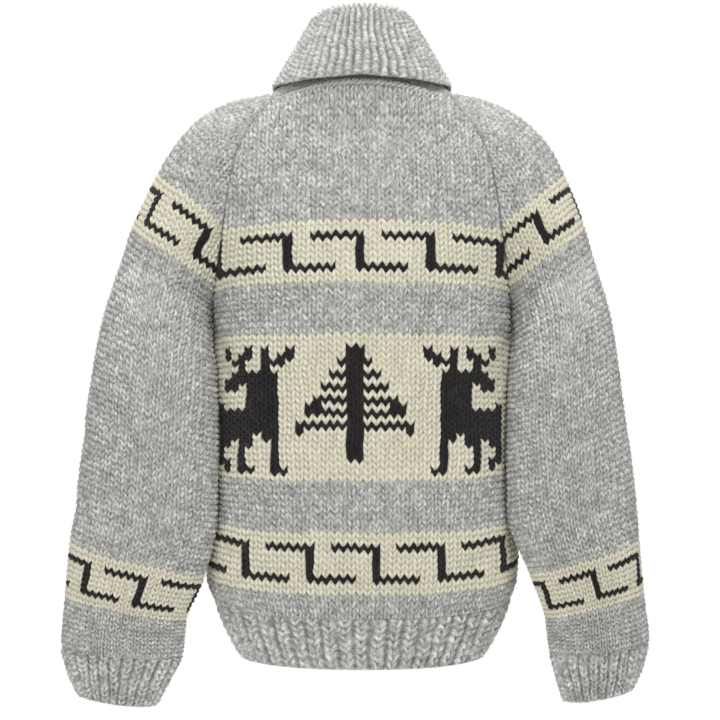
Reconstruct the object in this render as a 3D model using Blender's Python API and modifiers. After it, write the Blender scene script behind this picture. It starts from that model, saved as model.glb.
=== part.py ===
"""A cowichan cardigan: knitted pieces as walls on a filled-out form, closed by a zip.

The wearer faces -Y and +Z is up. The origin is the middle of the neck base, where the shoulders
hold the garment. Places along a piece are rows of knitting, counted up from the top of the hem rib:
the hem rib has rows below 0, the underarm is row 48 and the neck is row 83. The rows of the sleeves
go on below the underarm, down to the cuffs.
"""

import math
from collections import namedtuple

import bpy
from mathutils import Matrix, Vector

WALL = 0.0055  # the knitted fabric
COLLAR_WALL = 0.006  # the collar's thicker rib
SEAM = 0.0003  # the space between two pieces at a seam
RIGHT_SHORTENING = 0.005  # the right sleeve ends this much higher
SQUARENESS = 2.15  # of the body's rows: 2 would be an ellipse
RIM_WAY = Vector((0.35, 0.22, 0.91))  # sorts edge points, so both rims at a seam fold alike

HEM_ROW = -9
RIB_ROW = 0
UNDERARM_ROW = 48
VEE_ROW = 71
NECK_ROW = 83
CUFF_TOP_ROW = -18
CUFF_END_ROW = -27

RIB_ROWS = [HEM_ROW, -4.5, RIB_ROW]
CUFF_ROWS = [CUFF_END_ROW, -22, CUFF_TOP_ROW]
CAP_ROWS = [UNDERARM_ROW, 49, 51, 54, 58, 61, 66, VEE_ROW, 75, 79, NECK_ROW]
BODY_ROWS = [RIB_ROW, 4, 8, 14, 22, 32, 40, 45] + CAP_ROWS
TUBE_ROWS = [CUFF_TOP_ROW, -11, 0, 10, 20, 30, 38, 44]
HALF_BODY_COLUMNS = 10
HALF_SLEEVE_COLUMNS = 12

# The body: height and depth of its middle, behind and in front, and half its width at the side seam.
BodyRow = namedtuple("BodyRow", "row back_z back_depth front_z front_depth side")
BODY = [
    BodyRow(-9, -0.6175, 0.102, -0.6175, 0.099, 0.1365),
    BodyRow(-4.5, -0.583, 0.111, -0.583, 0.108, 0.1545),
    BodyRow(0, -0.551, 0.118, -0.551, 0.116, 0.166),
    BodyRow(3, -0.531, 0.123, -0.531, 0.121, 0.1725),
    BodyRow(8, -0.497, 0.127, -0.497, 0.126, 0.1745),
    BodyRow(16, -0.443, 0.129, -0.443, 0.128, 0.1695),
    BodyRow(28, -0.361, 0.130, -0.361, 0.129, 0.165),
    BodyRow(40, -0.280, 0.130, -0.280, 0.129, 0.165),
    BodyRow(48, -0.226, 0.129, -0.226, 0.128, 0.166),
    BodyRow(56, -0.1725, 0.126, -0.174, 0.123, 0.157),
    BodyRow(61, -0.139, 0.122, -0.142, 0.118, 0.1515),
    BodyRow(66, -0.106, 0.117, -0.110, 0.111, 0.146),
    BodyRow(72, -0.067, 0.109, -0.072, 0.101, 0.138),
    BodyRow(78, -0.029, 0.098, -0.038, 0.089, 0.121),
    BodyRow(83, 0.000, 0.087, -0.012, 0.077, 0.0975),
]

# The outer line of each sleeve, from the cuff over the shoulder to the neck, with half the sleeve's
# depth and how far its middle hangs back.
TopRow = namedtuple("TopRow", "row left_x right_x z half_depth hang_y")
TOP = [
    TopRow(-27, 0.3145, 0.2970, -0.6535, 0.031, 0.044),
    TopRow(-22, 0.3240, 0.3090, -0.625, 0.040, 0.046),
    TopRow(-18, 0.3290, 0.3140, -0.599, 0.046, 0.049),
    TopRow(-9, 0.3245, 0.3080, -0.545, 0.049, 0.055),
    TopRow(1, 0.3180, 0.3015, -0.4855, 0.051, 0.061),
    TopRow(12, 0.3075, 0.2945, -0.410, 0.054, 0.064),
    TopRow(24, 0.2985, 0.2835, -0.3285, 0.058, 0.060),
    TopRow(36, 0.2860, 0.2735, -0.2465, 0.065, 0.046),
    TopRow(44, 0.2725, 0.2635, -0.192, 0.072, 0.020),
    TopRow(48, 0.266, 0.257, -0.163, 0.0745, 0.0),
    TopRow(51, 0.260, 0.251, -0.1425, 0.076, 0.0),
    TopRow(56, 0.246, 0.2405, -0.110, 0.078, 0.0),
    TopRow(61, 0.2307, 0.228, -0.079, 0.080, 0.0),
    TopRow(66, 0.211, 0.210, -0.0455, 0.081, 0.0),
    TopRow(72, 0.180, 0.176, -0.0125, 0.080, 0.0),
    TopRow(78, 0.143, 0.137, 0.006, 0.072, 0.0),
    TopRow(83, 0.105, 0.105, 0.0125, 0.050, 0.0),
]

# The inner line of each sleeve below the underarm.
InnerRow = namedtuple("InnerRow", "row left_x right_x z")
INNER = [
    InnerRow(-27, 0.2285, 0.2240, -0.6665),
    InnerRow(-22, 0.2130, 0.2150, -0.637),
    InnerRow(-18, 0.2000, 0.2080, -0.611),
    InnerRow(-9, 0.1955, 0.2030, -0.572),
    InnerRow(1, 0.1740, 0.1850, -0.521),
    InnerRow(12, 0.1600, 0.1610, -0.458),
    InnerRow(24, 0.1595, 0.1600, -0.381),
    InnerRow(36, 0.1620, 0.1625, -0.3045),
    InnerRow(44, 0.1680, 0.1682, -0.253),
    InnerRow(48, 0.166, 0.166, -0.226),
]

# The raglan seams: where they lie, and how far round the sleeve from its outer line, in degrees.
RaglanRow = namedtuple("RaglanRow", "row back_x back_z back_turn front_x front_z front_turn")
RAGLAN = [
    RaglanRow(48, 0.166, -0.226, 180, 0.166, -0.226, 180),
    RaglanRow(49, 0.1653, -0.2215, 165, 0.1653, -0.222, 165),
    RaglanRow(51, 0.1625, -0.207, 151, 0.1625, -0.209, 151),
    RaglanRow(56, 0.157, -0.172, 128, 0.157, -0.176, 128),
    RaglanRow(61, 0.1515, -0.140, 109, 0.1515, -0.146, 109),
    RaglanRow(66, 0.146, -0.105, 98, 0.145, -0.113, 98),
    RaglanRow(72, 0.138, -0.066, 90, 0.133, -0.076, 89),
    RaglanRow(78, 0.121, -0.028, 71, 0.112, -0.041, 67),
    RaglanRow(83, 0.0975, 0.002, 74, 0.086, -0.012, 64),
]

# The collar: how far along the half neckline from the nape, the top of its fold and its free edge.
# bulge is how far the fall stands out from a straight line between them.
CollarStation = namedtuple("CollarStation", "row fold_x fold_y fold_z edge_x edge_y edge_z bulge")
COLLAR = [
    CollarStation(0.00, 0.000, 0.058, 0.101, 0.000, 0.110, 0.019, 0.006),
    CollarStation(0.17, 0.025, 0.053, 0.101, 0.043, 0.102, 0.0165, 0.003),
    CollarStation(0.33, 0.046, 0.034, 0.098, 0.077, 0.073, 0.0155, -0.002),
    CollarStation(0.49, 0.0550, 0.003, 0.092, 0.098, 0.012, 0.0190, -0.005),
    CollarStation(0.64, 0.0500, -0.034, 0.078, 0.100, -0.055, 0.010, -0.003),
    CollarStation(0.80, 0.036, -0.075, 0.034, 0.092, -0.106, -0.035, 0.002),
    CollarStation(0.92, 0.021, -0.106, -0.022, 0.074, -0.127, -0.083, 0.004),
    CollarStation(1.00, 0.013, -0.121, -0.058, 0.056, -0.131, -0.118, 0.005),
]
FOLD_RADIUS = 0.0042  # of the middle of the collar's wall
FOLD_STEPS = 4
STAND_STEPS = 3
FALL_STEPS = 4
COLLAR_GAP = 0.0006

# The zip.
ZIP_EDGE = 0.008  # from the middle to the edge of each front
TAPE_EDGE = 0.020
TAPE_INNER = 0.0002
TAPE_PARTED = 0.0018
TAPE_WALL = 0.0012
TAPE_GAP = 0.0008
TAPE_ROWS = [HEM_ROW, -4.5, 0, 4, 8, 14, 22, 32, 40, 45, 48, 49, 51, 54, 58, 61, 66, 69.2]
PARTED_ROWS = [69.5, VEE_ROW]
SLIDER_ROW = 69
STOP_ROW = -8.1

# The metal parts of the zip, in its own frame: X across, Y into the body, Z up along the zip.
Block = namedtuple("Block", "size centre bevel")
SLIDER_FRONT = Block((0.0125, 0.0020, 0.0180), (0, -0.0040, 0), 0.0005)
SLIDER_BACK = Block((0.0125, 0.0014, 0.0160), (0, 0.0024, 0), 0.0004)
SLIDER_WEDGE = Block((0.0024, 0.0064, 0.0040), (0, -0.0008, 0.0062), 0.0002)
BAIL_RADIUS = 0.0040
BAIL_WIRE_RADIUS = 0.0010
BAIL_CENTRE = (0, -0.0044, 0.0020)
BAIL_CUT = Block((0.0040, 0.0080, 0.0140), (0, 0.0002, 0.0020), 0.0001)
HINGE_PLACE = Vector((0, -0.0062, 0.0016))
PULL_BAR_RADIUS = 0.0008
PULL_BAR_LENGTH = 0.0064
PULL_ARM_X = 0.0026
PULL_ARM = Block((0.0012, 0.0016, 0.0076), (0, 0, -0.0032), 0.0002)
PULL_PLATE = Block((0.0084, 0.0016, 0.0260), (0, 0, -0.0194), 0.0006)
PULL_HOLE_RADIUS = 0.0019
PULL_HOLE_CENTRE = (0, 0, -0.0282)
PULL_HOLE_LENGTH = 0.010
STOP = Block((0.0085, 0.0030, 0.0100), (0, -0.0019, 0), 0.0006)

GREY = (0.50, 0.50, 0.51, 1)
LIGHT_GREY = (0.58, 0.58, 0.59, 1)
CHARCOAL = (0.035, 0.032, 0.032, 1)
NICKEL = (0.62, 0.61, 0.58, 1)


def smooth(table, column, row):
    """A column's value at a row, on a curve through the table that never overshoots its values."""
    places = [line.row for line in table]
    values = [getattr(line, column) for line in table]
    if row <= places[0]:
        return values[0]
    if row >= places[-1]:
        return values[-1]
    steps = [b - a for a, b in zip(places, places[1:])]
    rises = [(b - a) / step for a, b, step in zip(values, values[1:], steps)]
    slopes = [rises[0]]
    for before, after, left, right in zip(rises, rises[1:], steps, steps[1:]):
        if before * after <= 0:
            slopes.append(0.0)
        else:
            first = 2 * right + left
            second = right + 2 * left
            slopes.append((first + second) / (first / before + second / after))
    slopes.append(rises[-1])
    at = max(i for i, place in enumerate(places[:-1]) if place <= row)
    step = steps[at]
    share = (row - places[at]) / step
    bend = share * share * (3 - 2 * share)
    start = values[at] * (1 - bend) + values[at + 1] * bend
    lead = share * (1 - share) ** 2 * slopes[at] * step
    trail = share * share * (share - 1) * slopes[at + 1] * step
    return start + lead + trail


def seam_turn(face_name, row):
    """How far round the sleeve its seam lies. It closes under the arm like the end of an oval."""
    scale = NECK_ROW - UNDERARM_ROW
    spread = [
        line._replace(row=math.sqrt((line.row - UNDERARM_ROW) / scale)) for line in RAGLAN
    ]
    return math.radians(smooth(spread, face_name + "_turn", math.sqrt((row - UNDERARM_ROW) / scale)))


def face_name(face):
    return "back" if face > 0 else "front"


def side_name(side):
    return "left" if side > 0 else "right"


def seam_point(side, face, row):
    """Where a row of the body ends: at the side seam, or above the underarm at the raglan seam."""
    if row <= UNDERARM_ROW:
        return Vector((side * smooth(BODY, "side", row), 0, smooth(BODY, "back_z", row)))
    name = face_name(face)
    reach = smooth(TOP, "half_depth", row) * math.sin(seam_turn(name, row))
    x = side * smooth(RAGLAN, name + "_x", row)
    return Vector((x, face * reach, smooth(RAGLAN, name + "_z", row)))


def body_point(side, face, row, start_x, share):
    """A point of the body: share runs from start_x, near the middle, to 1 at the seam."""
    name = face_name(face)
    depth = smooth(BODY, name + "_depth", row)
    middle_z = smooth(BODY, name + "_z", row)
    end = seam_point(side, face, row)
    power = 2 / SQUARENESS
    fullness = 1 - (abs(end.y) / depth) ** SQUARENESS
    width = abs(end.x) / fullness ** (1 / SQUARENESS)
    first = math.asin((start_x / width) ** (1 / power))
    last = math.asin(min(1, (abs(end.x) / width) ** (1 / power)))
    angle = first + (last - first) * share
    x = width * math.sin(angle) ** power
    y = depth * max(0, math.cos(angle)) ** power
    if share == 1:
        x = abs(end.x)
        y = abs(end.y)
    z = middle_z + (end.z - middle_z) * (x / abs(end.x)) ** 2
    return Vector((side * x, face * y, z))


def front_start(row):
    """How far from the middle a front's row starts: at the zip, then along the neck edge."""
    if row <= VEE_ROW:
        return ZIP_EDGE
    corner = smooth(RAGLAN, "front_x", NECK_ROW) - ZIP_EDGE
    rise = ((row - VEE_ROW) / (NECK_ROW - VEE_ROW)) ** 0.85
    return ZIP_EDGE + (corner - ZIP_EDGE) * rise


def sleeve_point(side, row, turn):
    """A point of a sleeve: turn is 1 at the back seam, 0 on the outer line, -1 at the front seam."""
    name = face_name(turn)
    line = side_name(side) + "_x"
    top = Vector((side * smooth(TOP, line, row), 0, smooth(TOP, "z", row)))
    if row <= UNDERARM_ROW:
        inner = Vector((side * smooth(INNER, line, row), 0, smooth(INNER, "z", row)))
        if side < 0:
            below = (UNDERARM_ROW - row) / (UNDERARM_ROW - CUFF_END_ROW)
            top.z += RIGHT_SHORTENING * below
            inner.z += RIGHT_SHORTENING * below
        last = math.pi
    else:
        x = side * smooth(RAGLAN, name + "_x", row)
        inner = Vector((x, 0, smooth(RAGLAN, name + "_z", row)))
        last = seam_turn(name, row)
    half = (top - inner) / (1 - math.cos(last))
    angle = abs(turn) * last
    point = top - half + half * math.cos(angle)
    reach = smooth(TOP, "half_depth", row) * math.sin(angle)
    point.y = smooth(TOP, "hang_y", row) + math.copysign(reach, turn)
    return point


class Panel:
    """A piece of cloth as a grid of points, row by row, and the direction of its wall at each."""

    def __init__(self, name, group, points, turned, closed_below=None, rows=None):
        self.name = name
        self.rows = rows
        self.group = group
        self.points = points
        self.turned = turned
        self.closed = [closed_below is not None and row <= closed_below for row in rows or points]
        self.directions = [
            [self.direction(i, j) for j in range(len(points[0]))] for i in range(len(points))
        ]

    def across(self, i, j):
        line = self.points[i]
        last = len(line) - 1
        if self.closed[i] and j in (0, last):
            return line[1] - line[last - 1]
        return line[min(j + 1, last)] - line[max(j - 1, 0)]

    def along(self, i, j):
        last = len(self.points) - 1
        return self.points[min(i + 1, last)][j] - self.points[max(i - 1, 0)][j]

    def direction(self, i, j):
        normal = self.across(i, j).cross(self.along(i, j)).normalized()
        return -normal if self.turned else normal


def place_key(point):
    return tuple(round(value * 20000) for value in point)


def share_seam_directions(panels):
    """Gives points that several pieces share one direction, so that their walls lie side by side."""
    groups = {}
    for panel in panels:
        for line, directions in zip(panel.points, panel.directions):
            for point, direction in zip(line, directions):
                found = groups.setdefault(place_key(point), {})
                found.setdefault(panel.group, []).append(direction)
    shared = {}
    for key, found in groups.items():
        total = Vector()
        for directions in found.values():
            total += sum(directions, Vector()).normalized()
        shared[key] = total.normalized()
    for panel in panels:
        panel.directions = [[shared[place_key(point)] for point in line] for line in panel.points]
    return shared


def inward(point, inner, before, after, direction):
    """Half the seam's space, from an edge point into its piece."""
    edge = (after - before).normalized()
    step = inner - point
    step -= step.dot(edge) * edge
    step -= step.dot(direction) * direction
    return step.normalized() * SEAM / 2


def trimmed(panel):
    """The panel's points, with its edges drawn back by half the seam's space."""
    points = panel.points
    last_row = len(points) - 1
    last = len(points[0]) - 1
    moved = [[point.copy() for point in line] for line in points]
    for i in range(last_row + 1):
        if panel.closed[i]:
            continue
        for j, k in ((0, 1), (last, last - 1)):
            before = points[max(i - 1, 0)][j]
            after = points[min(i + 1, last_row)][j]
            moved[i][j] += inward(points[i][j], points[i][k], before, after, panel.directions[i][j])
    for i, k in ((0, 1), (last_row, last_row - 1)):
        for j in range(last + 1):
            left = 1 if panel.closed[i] and j == last else min(j + 1, last)
            right = last - 1 if panel.closed[i] and j == 0 else max(j - 1, 0)
            step = inward(
                points[i][j], points[k][j], points[i][right], points[i][left], panel.directions[i][j]
            )
            moved[i][j] += step
    if panel.group == "body" and UNDERARM_ROW in panel.rows:
        for j in (0, last):
            corner = moved[panel.rows.index(UNDERARM_ROW)][j]
            corner += Vector((-math.copysign(SEAM, corner.x), 0, -SEAM))
    return moved


def wall_object(name, outer, inner, closed, colour, turned):
    """A closed wall between two grids of points. Rows marked closed are rings."""
    rows = len(outer)
    columns = len(outer[0])
    numbers = {}
    points = []

    def number(i, j):
        column = 0 if closed[i] and j == columns - 1 else j
        if (i, column) not in numbers:
            numbers[i, column] = len(numbers)
            points.append((outer[i][column], inner[i][column]))
        return numbers[i, column]

    quads = []
    for i in range(rows - 1):
        for j in range(columns - 1):
            quads.append((number(i, j), number(i, j + 1), number(i + 1, j + 1), number(i + 1, j)))
    if turned:
        quads = [quad[::-1] for quad in quads]
    edges = {}
    for quad in quads:
        for a, b in zip(quad, quad[1:] + quad[:1]):
            edges[a, b] = None
    count = len(points)
    faces = list(quads)
    faces += [tuple(count + corner for corner in quad[::-1]) for quad in quads]
    for a, b in edges:
        if (b, a) in edges:
            continue
        if points[a][0].dot(RIM_WAY) < points[b][0].dot(RIM_WAY):
            faces += [(b, a, count + b), (a, count + a, count + b)]
        else:
            faces += [(b, a, count + a), (b, count + a, count + b)]
    mesh = bpy.data.meshes.new(name)
    mesh.from_pydata([pair[0] for pair in points] + [pair[1] for pair in points], [], faces)
    mesh.update()
    return finished(bpy.data.objects.new(name, mesh), colour, 0.9, 0.0)


def finished(thing, colour, roughness, metallic):
    """Links an object into the cardigan's collection and gives it a material of its own."""
    material = bpy.data.materials.new(thing.name)
    material.use_nodes = True
    shader = material.node_tree.nodes["Principled BSDF"]
    shader.inputs["Base Color"].default_value = colour
    shader.inputs["Roughness"].default_value = roughness
    shader.inputs["Metallic"].default_value = metallic
    thing.data.materials.clear()
    thing.data.materials.append(material)
    for collection in list(thing.users_collection):
        collection.objects.unlink(thing)
    cardigan.objects.link(thing)
    return thing


def cloth_object(panel, colour):
    """A panel as a wall under its outer surface."""
    outer = trimmed(panel)
    inner = [
        [point - direction * WALL for point, direction in zip(line, directions)]
        for line, directions in zip(outer, panel.directions)
    ]
    return wall_object(panel.name, outer, inner, panel.closed, colour, panel.turned)


def body_panel(name, side, face, rows, start):
    """Half of the body, from the middle to the seam."""
    shares = [column / HALF_BODY_COLUMNS for column in range(HALF_BODY_COLUMNS + 1)]
    points = [[body_point(side, face, row, start(row), share) for share in shares] for row in rows]
    return Panel(name, "body", points, side * face > 0, None, rows)


def back_panel(name, rows):
    """The whole width of the back, from seam to seam."""
    steps = range(-HALF_BODY_COLUMNS, HALF_BODY_COLUMNS + 1)
    points = []
    for row in rows:
        line = []
        for step in steps:
            side = 1 if step >= 0 else -1
            line.append(body_point(side, 1, row, 0, abs(step) / HALF_BODY_COLUMNS))
        points.append(line)
    return Panel(name, "body", points, True, None, rows)


def sleeve_panel(name, side, rows):
    """A sleeve or a cuff. It is a ring up to the underarm, and open above."""
    steps = range(-HALF_SLEEVE_COLUMNS, HALF_SLEEVE_COLUMNS + 1)
    points = [[sleeve_point(side, row, step / HALF_SLEEVE_COLUMNS) for step in steps] for row in rows]
    return Panel(name, "sleeve", points, side < 0, UNDERARM_ROW, rows)


def neckline(side, back, sleeve, front):
    """Half of the neck's edge as (point, direction, way into the collar), from nape to zip."""
    edge = []

    def add(panel, i, j, below):
        up = panel.points[i][j] - panel.points[below[0]][below[1]]
        edge.append((panel.points[i][j], panel.directions[i][j], up))

    top = len(back.points) - 1
    for step in range(HALF_BODY_COLUMNS):
        column = HALF_BODY_COLUMNS + side * step
        add(back, top, column, (top - 1, column))
    top = len(sleeve.points) - 1
    for step in range(HALF_SLEEVE_COLUMNS, -HALF_SLEEVE_COLUMNS, -4):
        column = HALF_SLEEVE_COLUMNS + step
        add(sleeve, top, column, (top - 1, column))
    top = len(front.points) - 1
    for row in range(top, BODY_ROWS.index(VEE_ROW) - 1, -1):
        add(front, row, 0, (row, 1))
    return edge


def collar_profile(point, direction, way, share):
    """The middle of the collar's wall at one place, from its seam over the fold to its free edge."""
    fold = Vector([smooth(COLLAR, "fold_" + axis, share) for axis in "xyz"])
    edge = Vector([smooth(COLLAR, "edge_" + axis, share) for axis in "xyz"])
    seam = point - direction * WALL / 2
    up = (fold - (seam + edge) / 2).normalized()
    over = edge - seam
    over -= over.dot(up) * up
    over.normalize()
    way -= way.dot(direction) * direction
    way.normalize()
    start = seam + way * COLLAR_GAP
    centre = fold - up * FOLD_RADIUS
    top = centre - over * FOLD_RADIUS
    control = start + (way + up).normalized() * (top - start).length * 0.45
    line = [quadratic(start, control, top, step / STAND_STEPS) for step in range(STAND_STEPS)]
    for step in range(FOLD_STEPS):
        angle = math.pi * step / FOLD_STEPS
        line.append(centre + FOLD_RADIUS * (up * math.sin(angle) - over * math.cos(angle)))
    outer = centre + over * FOLD_RADIUS
    control = (outer + edge) / 2 + over * 2 * smooth(COLLAR, "bulge", share)
    line += [quadratic(outer, control, edge, step / FALL_STEPS) for step in range(FALL_STEPS + 1)]
    return line


def quadratic(start, control, end, share):
    return start * (1 - share) ** 2 + control * 2 * share * (1 - share) + end * share * share


def collar_object(left_edge, right_edge):
    """The whole collar, from the right front's edge round the nape to the left front's edge."""
    lines = []
    for edge, mirrored in ((right_edge, True), (left_edge, False)):
        lengths = [0.0]
        for (a, _, _), (b, _, _) in zip(edge, edge[1:]):
            lengths.append(lengths[-1] + (b - a).length)
        half = []
        for (point, direction, way), length in zip(edge, lengths):
            flip = Vector((-1, 1, 1)) if mirrored else Vector((1, 1, 1))
            line = collar_profile(
                point * flip, direction * flip, way * flip, length / lengths[-1]
            )
            half.append(([middle * flip for middle in line], direction))
        lines += half[:0:-1] if mirrored else half
    points = [line for line, _ in lines]
    panel = Panel("collar", "collar", points, False, None, [None] * len(points))
    for i, (_, direction) in enumerate(lines):
        panel.directions[i][0] = -direction
    half_wall = COLLAR_WALL / 2
    sides = []
    for sign in (-1, 1):
        side = []
        for line, directions in zip(points, panel.directions):
            side.append([p + d * half_wall * sign for p, d in zip(line, directions)])
        sides.append(side)
    return wall_object("collar", sides[0], sides[1], panel.closed, LIGHT_GREY, True)


def zip_frame(row, depth):
    """A frame on the zip at a row: X across, Y into the body, Z up along the zip."""
    below = body_point(1, -1, row - 0.5, 0, 0)
    above = body_point(1, -1, row + 0.5, 0, 0)
    up = (above - below).normalized()
    across = Vector((1, 0, 0))
    into = up.cross(across)
    place = body_point(1, -1, row, 0, 0) + into * depth
    frame = Matrix((across, into, up)).transposed().to_4x4()
    frame.translation = place
    return frame


def zip_tape(name, side):
    """A tape behind a front's edge. Above the slider its inner edge parts from the other tape's."""
    rows = TAPE_ROWS + PARTED_ROWS
    outer = []
    inner = []
    for row in rows:
        into = zip_frame(row, 0).col[1].to_3d()
        start = TAPE_PARTED if row in PARTED_ROWS else TAPE_INNER
        places = []
        for x in (start, ZIP_EDGE, TAPE_EDGE):
            places.append(body_point(side, -1, row, x, 0))
        outer.append([place + into * (WALL + TAPE_GAP) for place in places])
        inner.append([place + into * (WALL + TAPE_GAP + TAPE_WALL) for place in places])
    return wall_object(name, outer, inner, [False] * len(rows), CHARCOAL, side < 0)


def block(shape, x=0):
    """A bevelled block, as a loose object for join."""
    centre = (x, shape.centre[1], shape.centre[2])
    bpy.ops.mesh.primitive_cube_add(size=1, location=centre)
    thing = bpy.context.object
    thing.scale = shape.size
    bpy.ops.object.transform_apply(location=True, rotation=False, scale=True)
    modifier = thing.modifiers.new("edges", "BEVEL")
    modifier.width = shape.bevel
    modifier.segments = 2
    modifier.limit_method = "ANGLE"
    bpy.ops.object.modifier_apply(modifier=modifier.name)
    return thing


def rod(radius, length, centre, turn, sides):
    """A rod along X or Y, as a loose object for join."""
    bpy.ops.mesh.primitive_cylinder_add(
        radius=radius, depth=length, vertices=sides, location=centre, rotation=turn
    )
    thing = bpy.context.object
    bpy.ops.object.transform_apply(location=True, rotation=True, scale=True)
    return thing


def join(name, pieces, cut=()):
    """One body from several that meet, less the cutters."""
    body = pieces[0]
    bpy.context.view_layer.objects.active = body
    for others, operation in ((pieces[1:], "UNION"), (cut, "DIFFERENCE")):
        for other in others:
            modifier = body.modifiers.new("join", "BOOLEAN")
            modifier.operation = operation
            modifier.solver = "EXACT"
            modifier.object = other
            bpy.ops.object.modifier_apply(modifier=modifier.name)
            bpy.data.objects.remove(other)
    body.name = name
    body.data.name = name
    return body


def zip_slider(frame):
    """Two plates round the chain, joined by the wedge between the tapes, with the pull's bail."""
    bpy.ops.mesh.primitive_torus_add(
        major_radius=BAIL_RADIUS,
        minor_radius=BAIL_WIRE_RADIUS,
        major_segments=20,
        minor_segments=8,
        location=BAIL_CENTRE,
        rotation=(0, math.pi / 2, 0),
    )
    ring = bpy.context.object
    bpy.ops.object.transform_apply(location=True, rotation=True, scale=True)
    bail = join("bail", [ring], [block(BAIL_CUT)])
    plates = [block(SLIDER_FRONT), block(SLIDER_BACK), block(SLIDER_WEDGE)]
    slider = join("zip_slider", plates + [bail])
    slider.matrix_world = frame
    return finished(slider, NICKEL, 0.3, 1.0)


def zip_pull(frame):
    """The pull tab: a bar through the bail, two arms and a plate with a hole at its end."""
    bar = rod(PULL_BAR_RADIUS, PULL_BAR_LENGTH, (0, 0, 0), (0, math.pi / 2, 0), 12)
    arms = [block(PULL_ARM, x) for x in (-PULL_ARM_X, PULL_ARM_X)]
    hole = rod(PULL_HOLE_RADIUS, PULL_HOLE_LENGTH, PULL_HOLE_CENTRE, (math.pi / 2, 0, 0), 20)
    pull = join("zip_pull", [block(PULL_PLATE)] + arms + [bar], [hole])
    pull.matrix_world = frame
    return finished(pull, NICKEL, 0.3, 1.0)


def zip_stop(frame):
    """The box at the foot of the zip, where the two sides start."""
    stop = block(STOP)
    stop.name = "zip_stop"
    stop.data.name = "zip_stop"
    stop.matrix_world = frame
    return finished(stop, NICKEL, 0.3, 1.0)


for old in list(bpy.data.objects):
    bpy.data.objects.remove(old)
cardigan = bpy.data.collections.new("cowichan_cardigan")
bpy.context.scene.collection.children.link(cardigan)

back = back_panel("back", BODY_ROWS)
front_left = body_panel("front_left", 1, -1, BODY_ROWS, front_start)
front_right = body_panel("front_right", -1, -1, BODY_ROWS, front_start)
sleeve_left = sleeve_panel("sleeve_left", 1, TUBE_ROWS + CAP_ROWS)
sleeve_right = sleeve_panel("sleeve_right", -1, TUBE_ROWS + CAP_ROWS)
hem_rib_back = back_panel("hem_rib_back", RIB_ROWS)
hem_rib_left = body_panel("hem_rib_left", 1, -1, RIB_ROWS, front_start)
hem_rib_right = body_panel("hem_rib_right", -1, -1, RIB_ROWS, front_start)
cuff_left = sleeve_panel("cuff_left", 1, CUFF_ROWS)
cuff_right = sleeve_panel("cuff_right", -1, CUFF_ROWS)
knitted = [back, front_left, front_right, sleeve_left, sleeve_right]
ribbed = [hem_rib_back, hem_rib_left, hem_rib_right, cuff_left, cuff_right]
share_seam_directions(knitted + ribbed)
for panel in knitted:
    cloth_object(panel, GREY)
for panel in ribbed:
    cloth_object(panel, LIGHT_GREY)
collar_object(
    neckline(1, back, sleeve_left, front_left),
    neckline(-1, back, sleeve_right, front_right),
)
zip_tape("zip_tape_left", 1)
zip_tape("zip_tape_right", -1)
slider_frame = zip_frame(SLIDER_ROW, WALL + TAPE_GAP)
zip_slider(slider_frame)
zip_pull(slider_frame @ Matrix.Translation(HINGE_PLACE))
zip_stop(zip_frame(STOP_ROW, WALL + TAPE_GAP))
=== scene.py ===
"""The cowichan cardigan's looks: every knitted piece with its own stitches, on the form of its wall.

Places on a piece are counted in stitches and rows of knitting, as its maker would: rows go up from the
top of the hem rib, the underarm is row 48 and the neck is row 83. A piece's stitches are laid along
its rows, wider at the sides, its edges cut them off at the seams, and a chart gives each its yarn.
"""

import math

import bmesh
import bpy
import numpy as np
from mathutils import Matrix, Vector


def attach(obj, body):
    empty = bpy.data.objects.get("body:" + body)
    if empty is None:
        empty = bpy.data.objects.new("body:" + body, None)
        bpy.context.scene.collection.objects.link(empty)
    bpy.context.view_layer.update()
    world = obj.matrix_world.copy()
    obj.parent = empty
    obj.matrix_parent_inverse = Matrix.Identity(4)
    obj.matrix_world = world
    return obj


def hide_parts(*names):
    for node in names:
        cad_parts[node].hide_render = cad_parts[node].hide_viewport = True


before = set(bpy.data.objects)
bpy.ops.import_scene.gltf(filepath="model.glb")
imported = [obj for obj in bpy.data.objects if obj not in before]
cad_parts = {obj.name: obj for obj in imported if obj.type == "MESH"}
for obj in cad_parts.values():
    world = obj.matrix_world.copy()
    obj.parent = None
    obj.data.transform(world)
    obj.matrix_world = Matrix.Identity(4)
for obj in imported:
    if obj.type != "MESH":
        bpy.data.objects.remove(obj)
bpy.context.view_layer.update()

# ---------------------------------------------------------------- the garment's form, as its walls have it

WALL = 0.0055
COLLAR_WALL = 0.006
SQUARENESS = 2.15
RIGHT_SHORTENING = 0.005

HEM_ROW = -9
RIB_ROW = -1.4
UNDERARM_ROW = 48
VEE_ROW = 71
NECK_ROW = 83
CUFF_TOP_ROW = -18
CUFF_END_ROW = -27
ZIP_EDGE = 0.008
VEE_BOW = 0.85  # under 1, the neck's edge leaves the zip faster than it nears the raglan seam


def linked(name, data):
    """A new object in the scene."""
    thing = bpy.data.objects.new(name, data)
    bpy.context.scene.collection.objects.link(thing)
    return thing


def as_mesh(name, shape):
    """A mesh of a finished bmesh."""
    mesh = bpy.data.meshes.new(name)
    shape.to_mesh(mesh)
    shape.free()
    return mesh


def summed(steps):
    """Running sums along the last axis, from 0."""
    return np.concatenate([np.zeros(steps.shape[:-1] + (1,)), np.cumsum(steps, axis=-1)], axis=-1)


def travelled(line):
    """How far along a line, or each of a stack of lines, its points lie."""
    return summed(np.linalg.norm(np.diff(line, axis=-2), axis=-1))


def reached(marks, lengths, line):
    """The places at which given lengths along a line are reached."""
    return np.stack([np.interp(marks, lengths, line[:, axis]) for axis in range(3)], 1)


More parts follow.
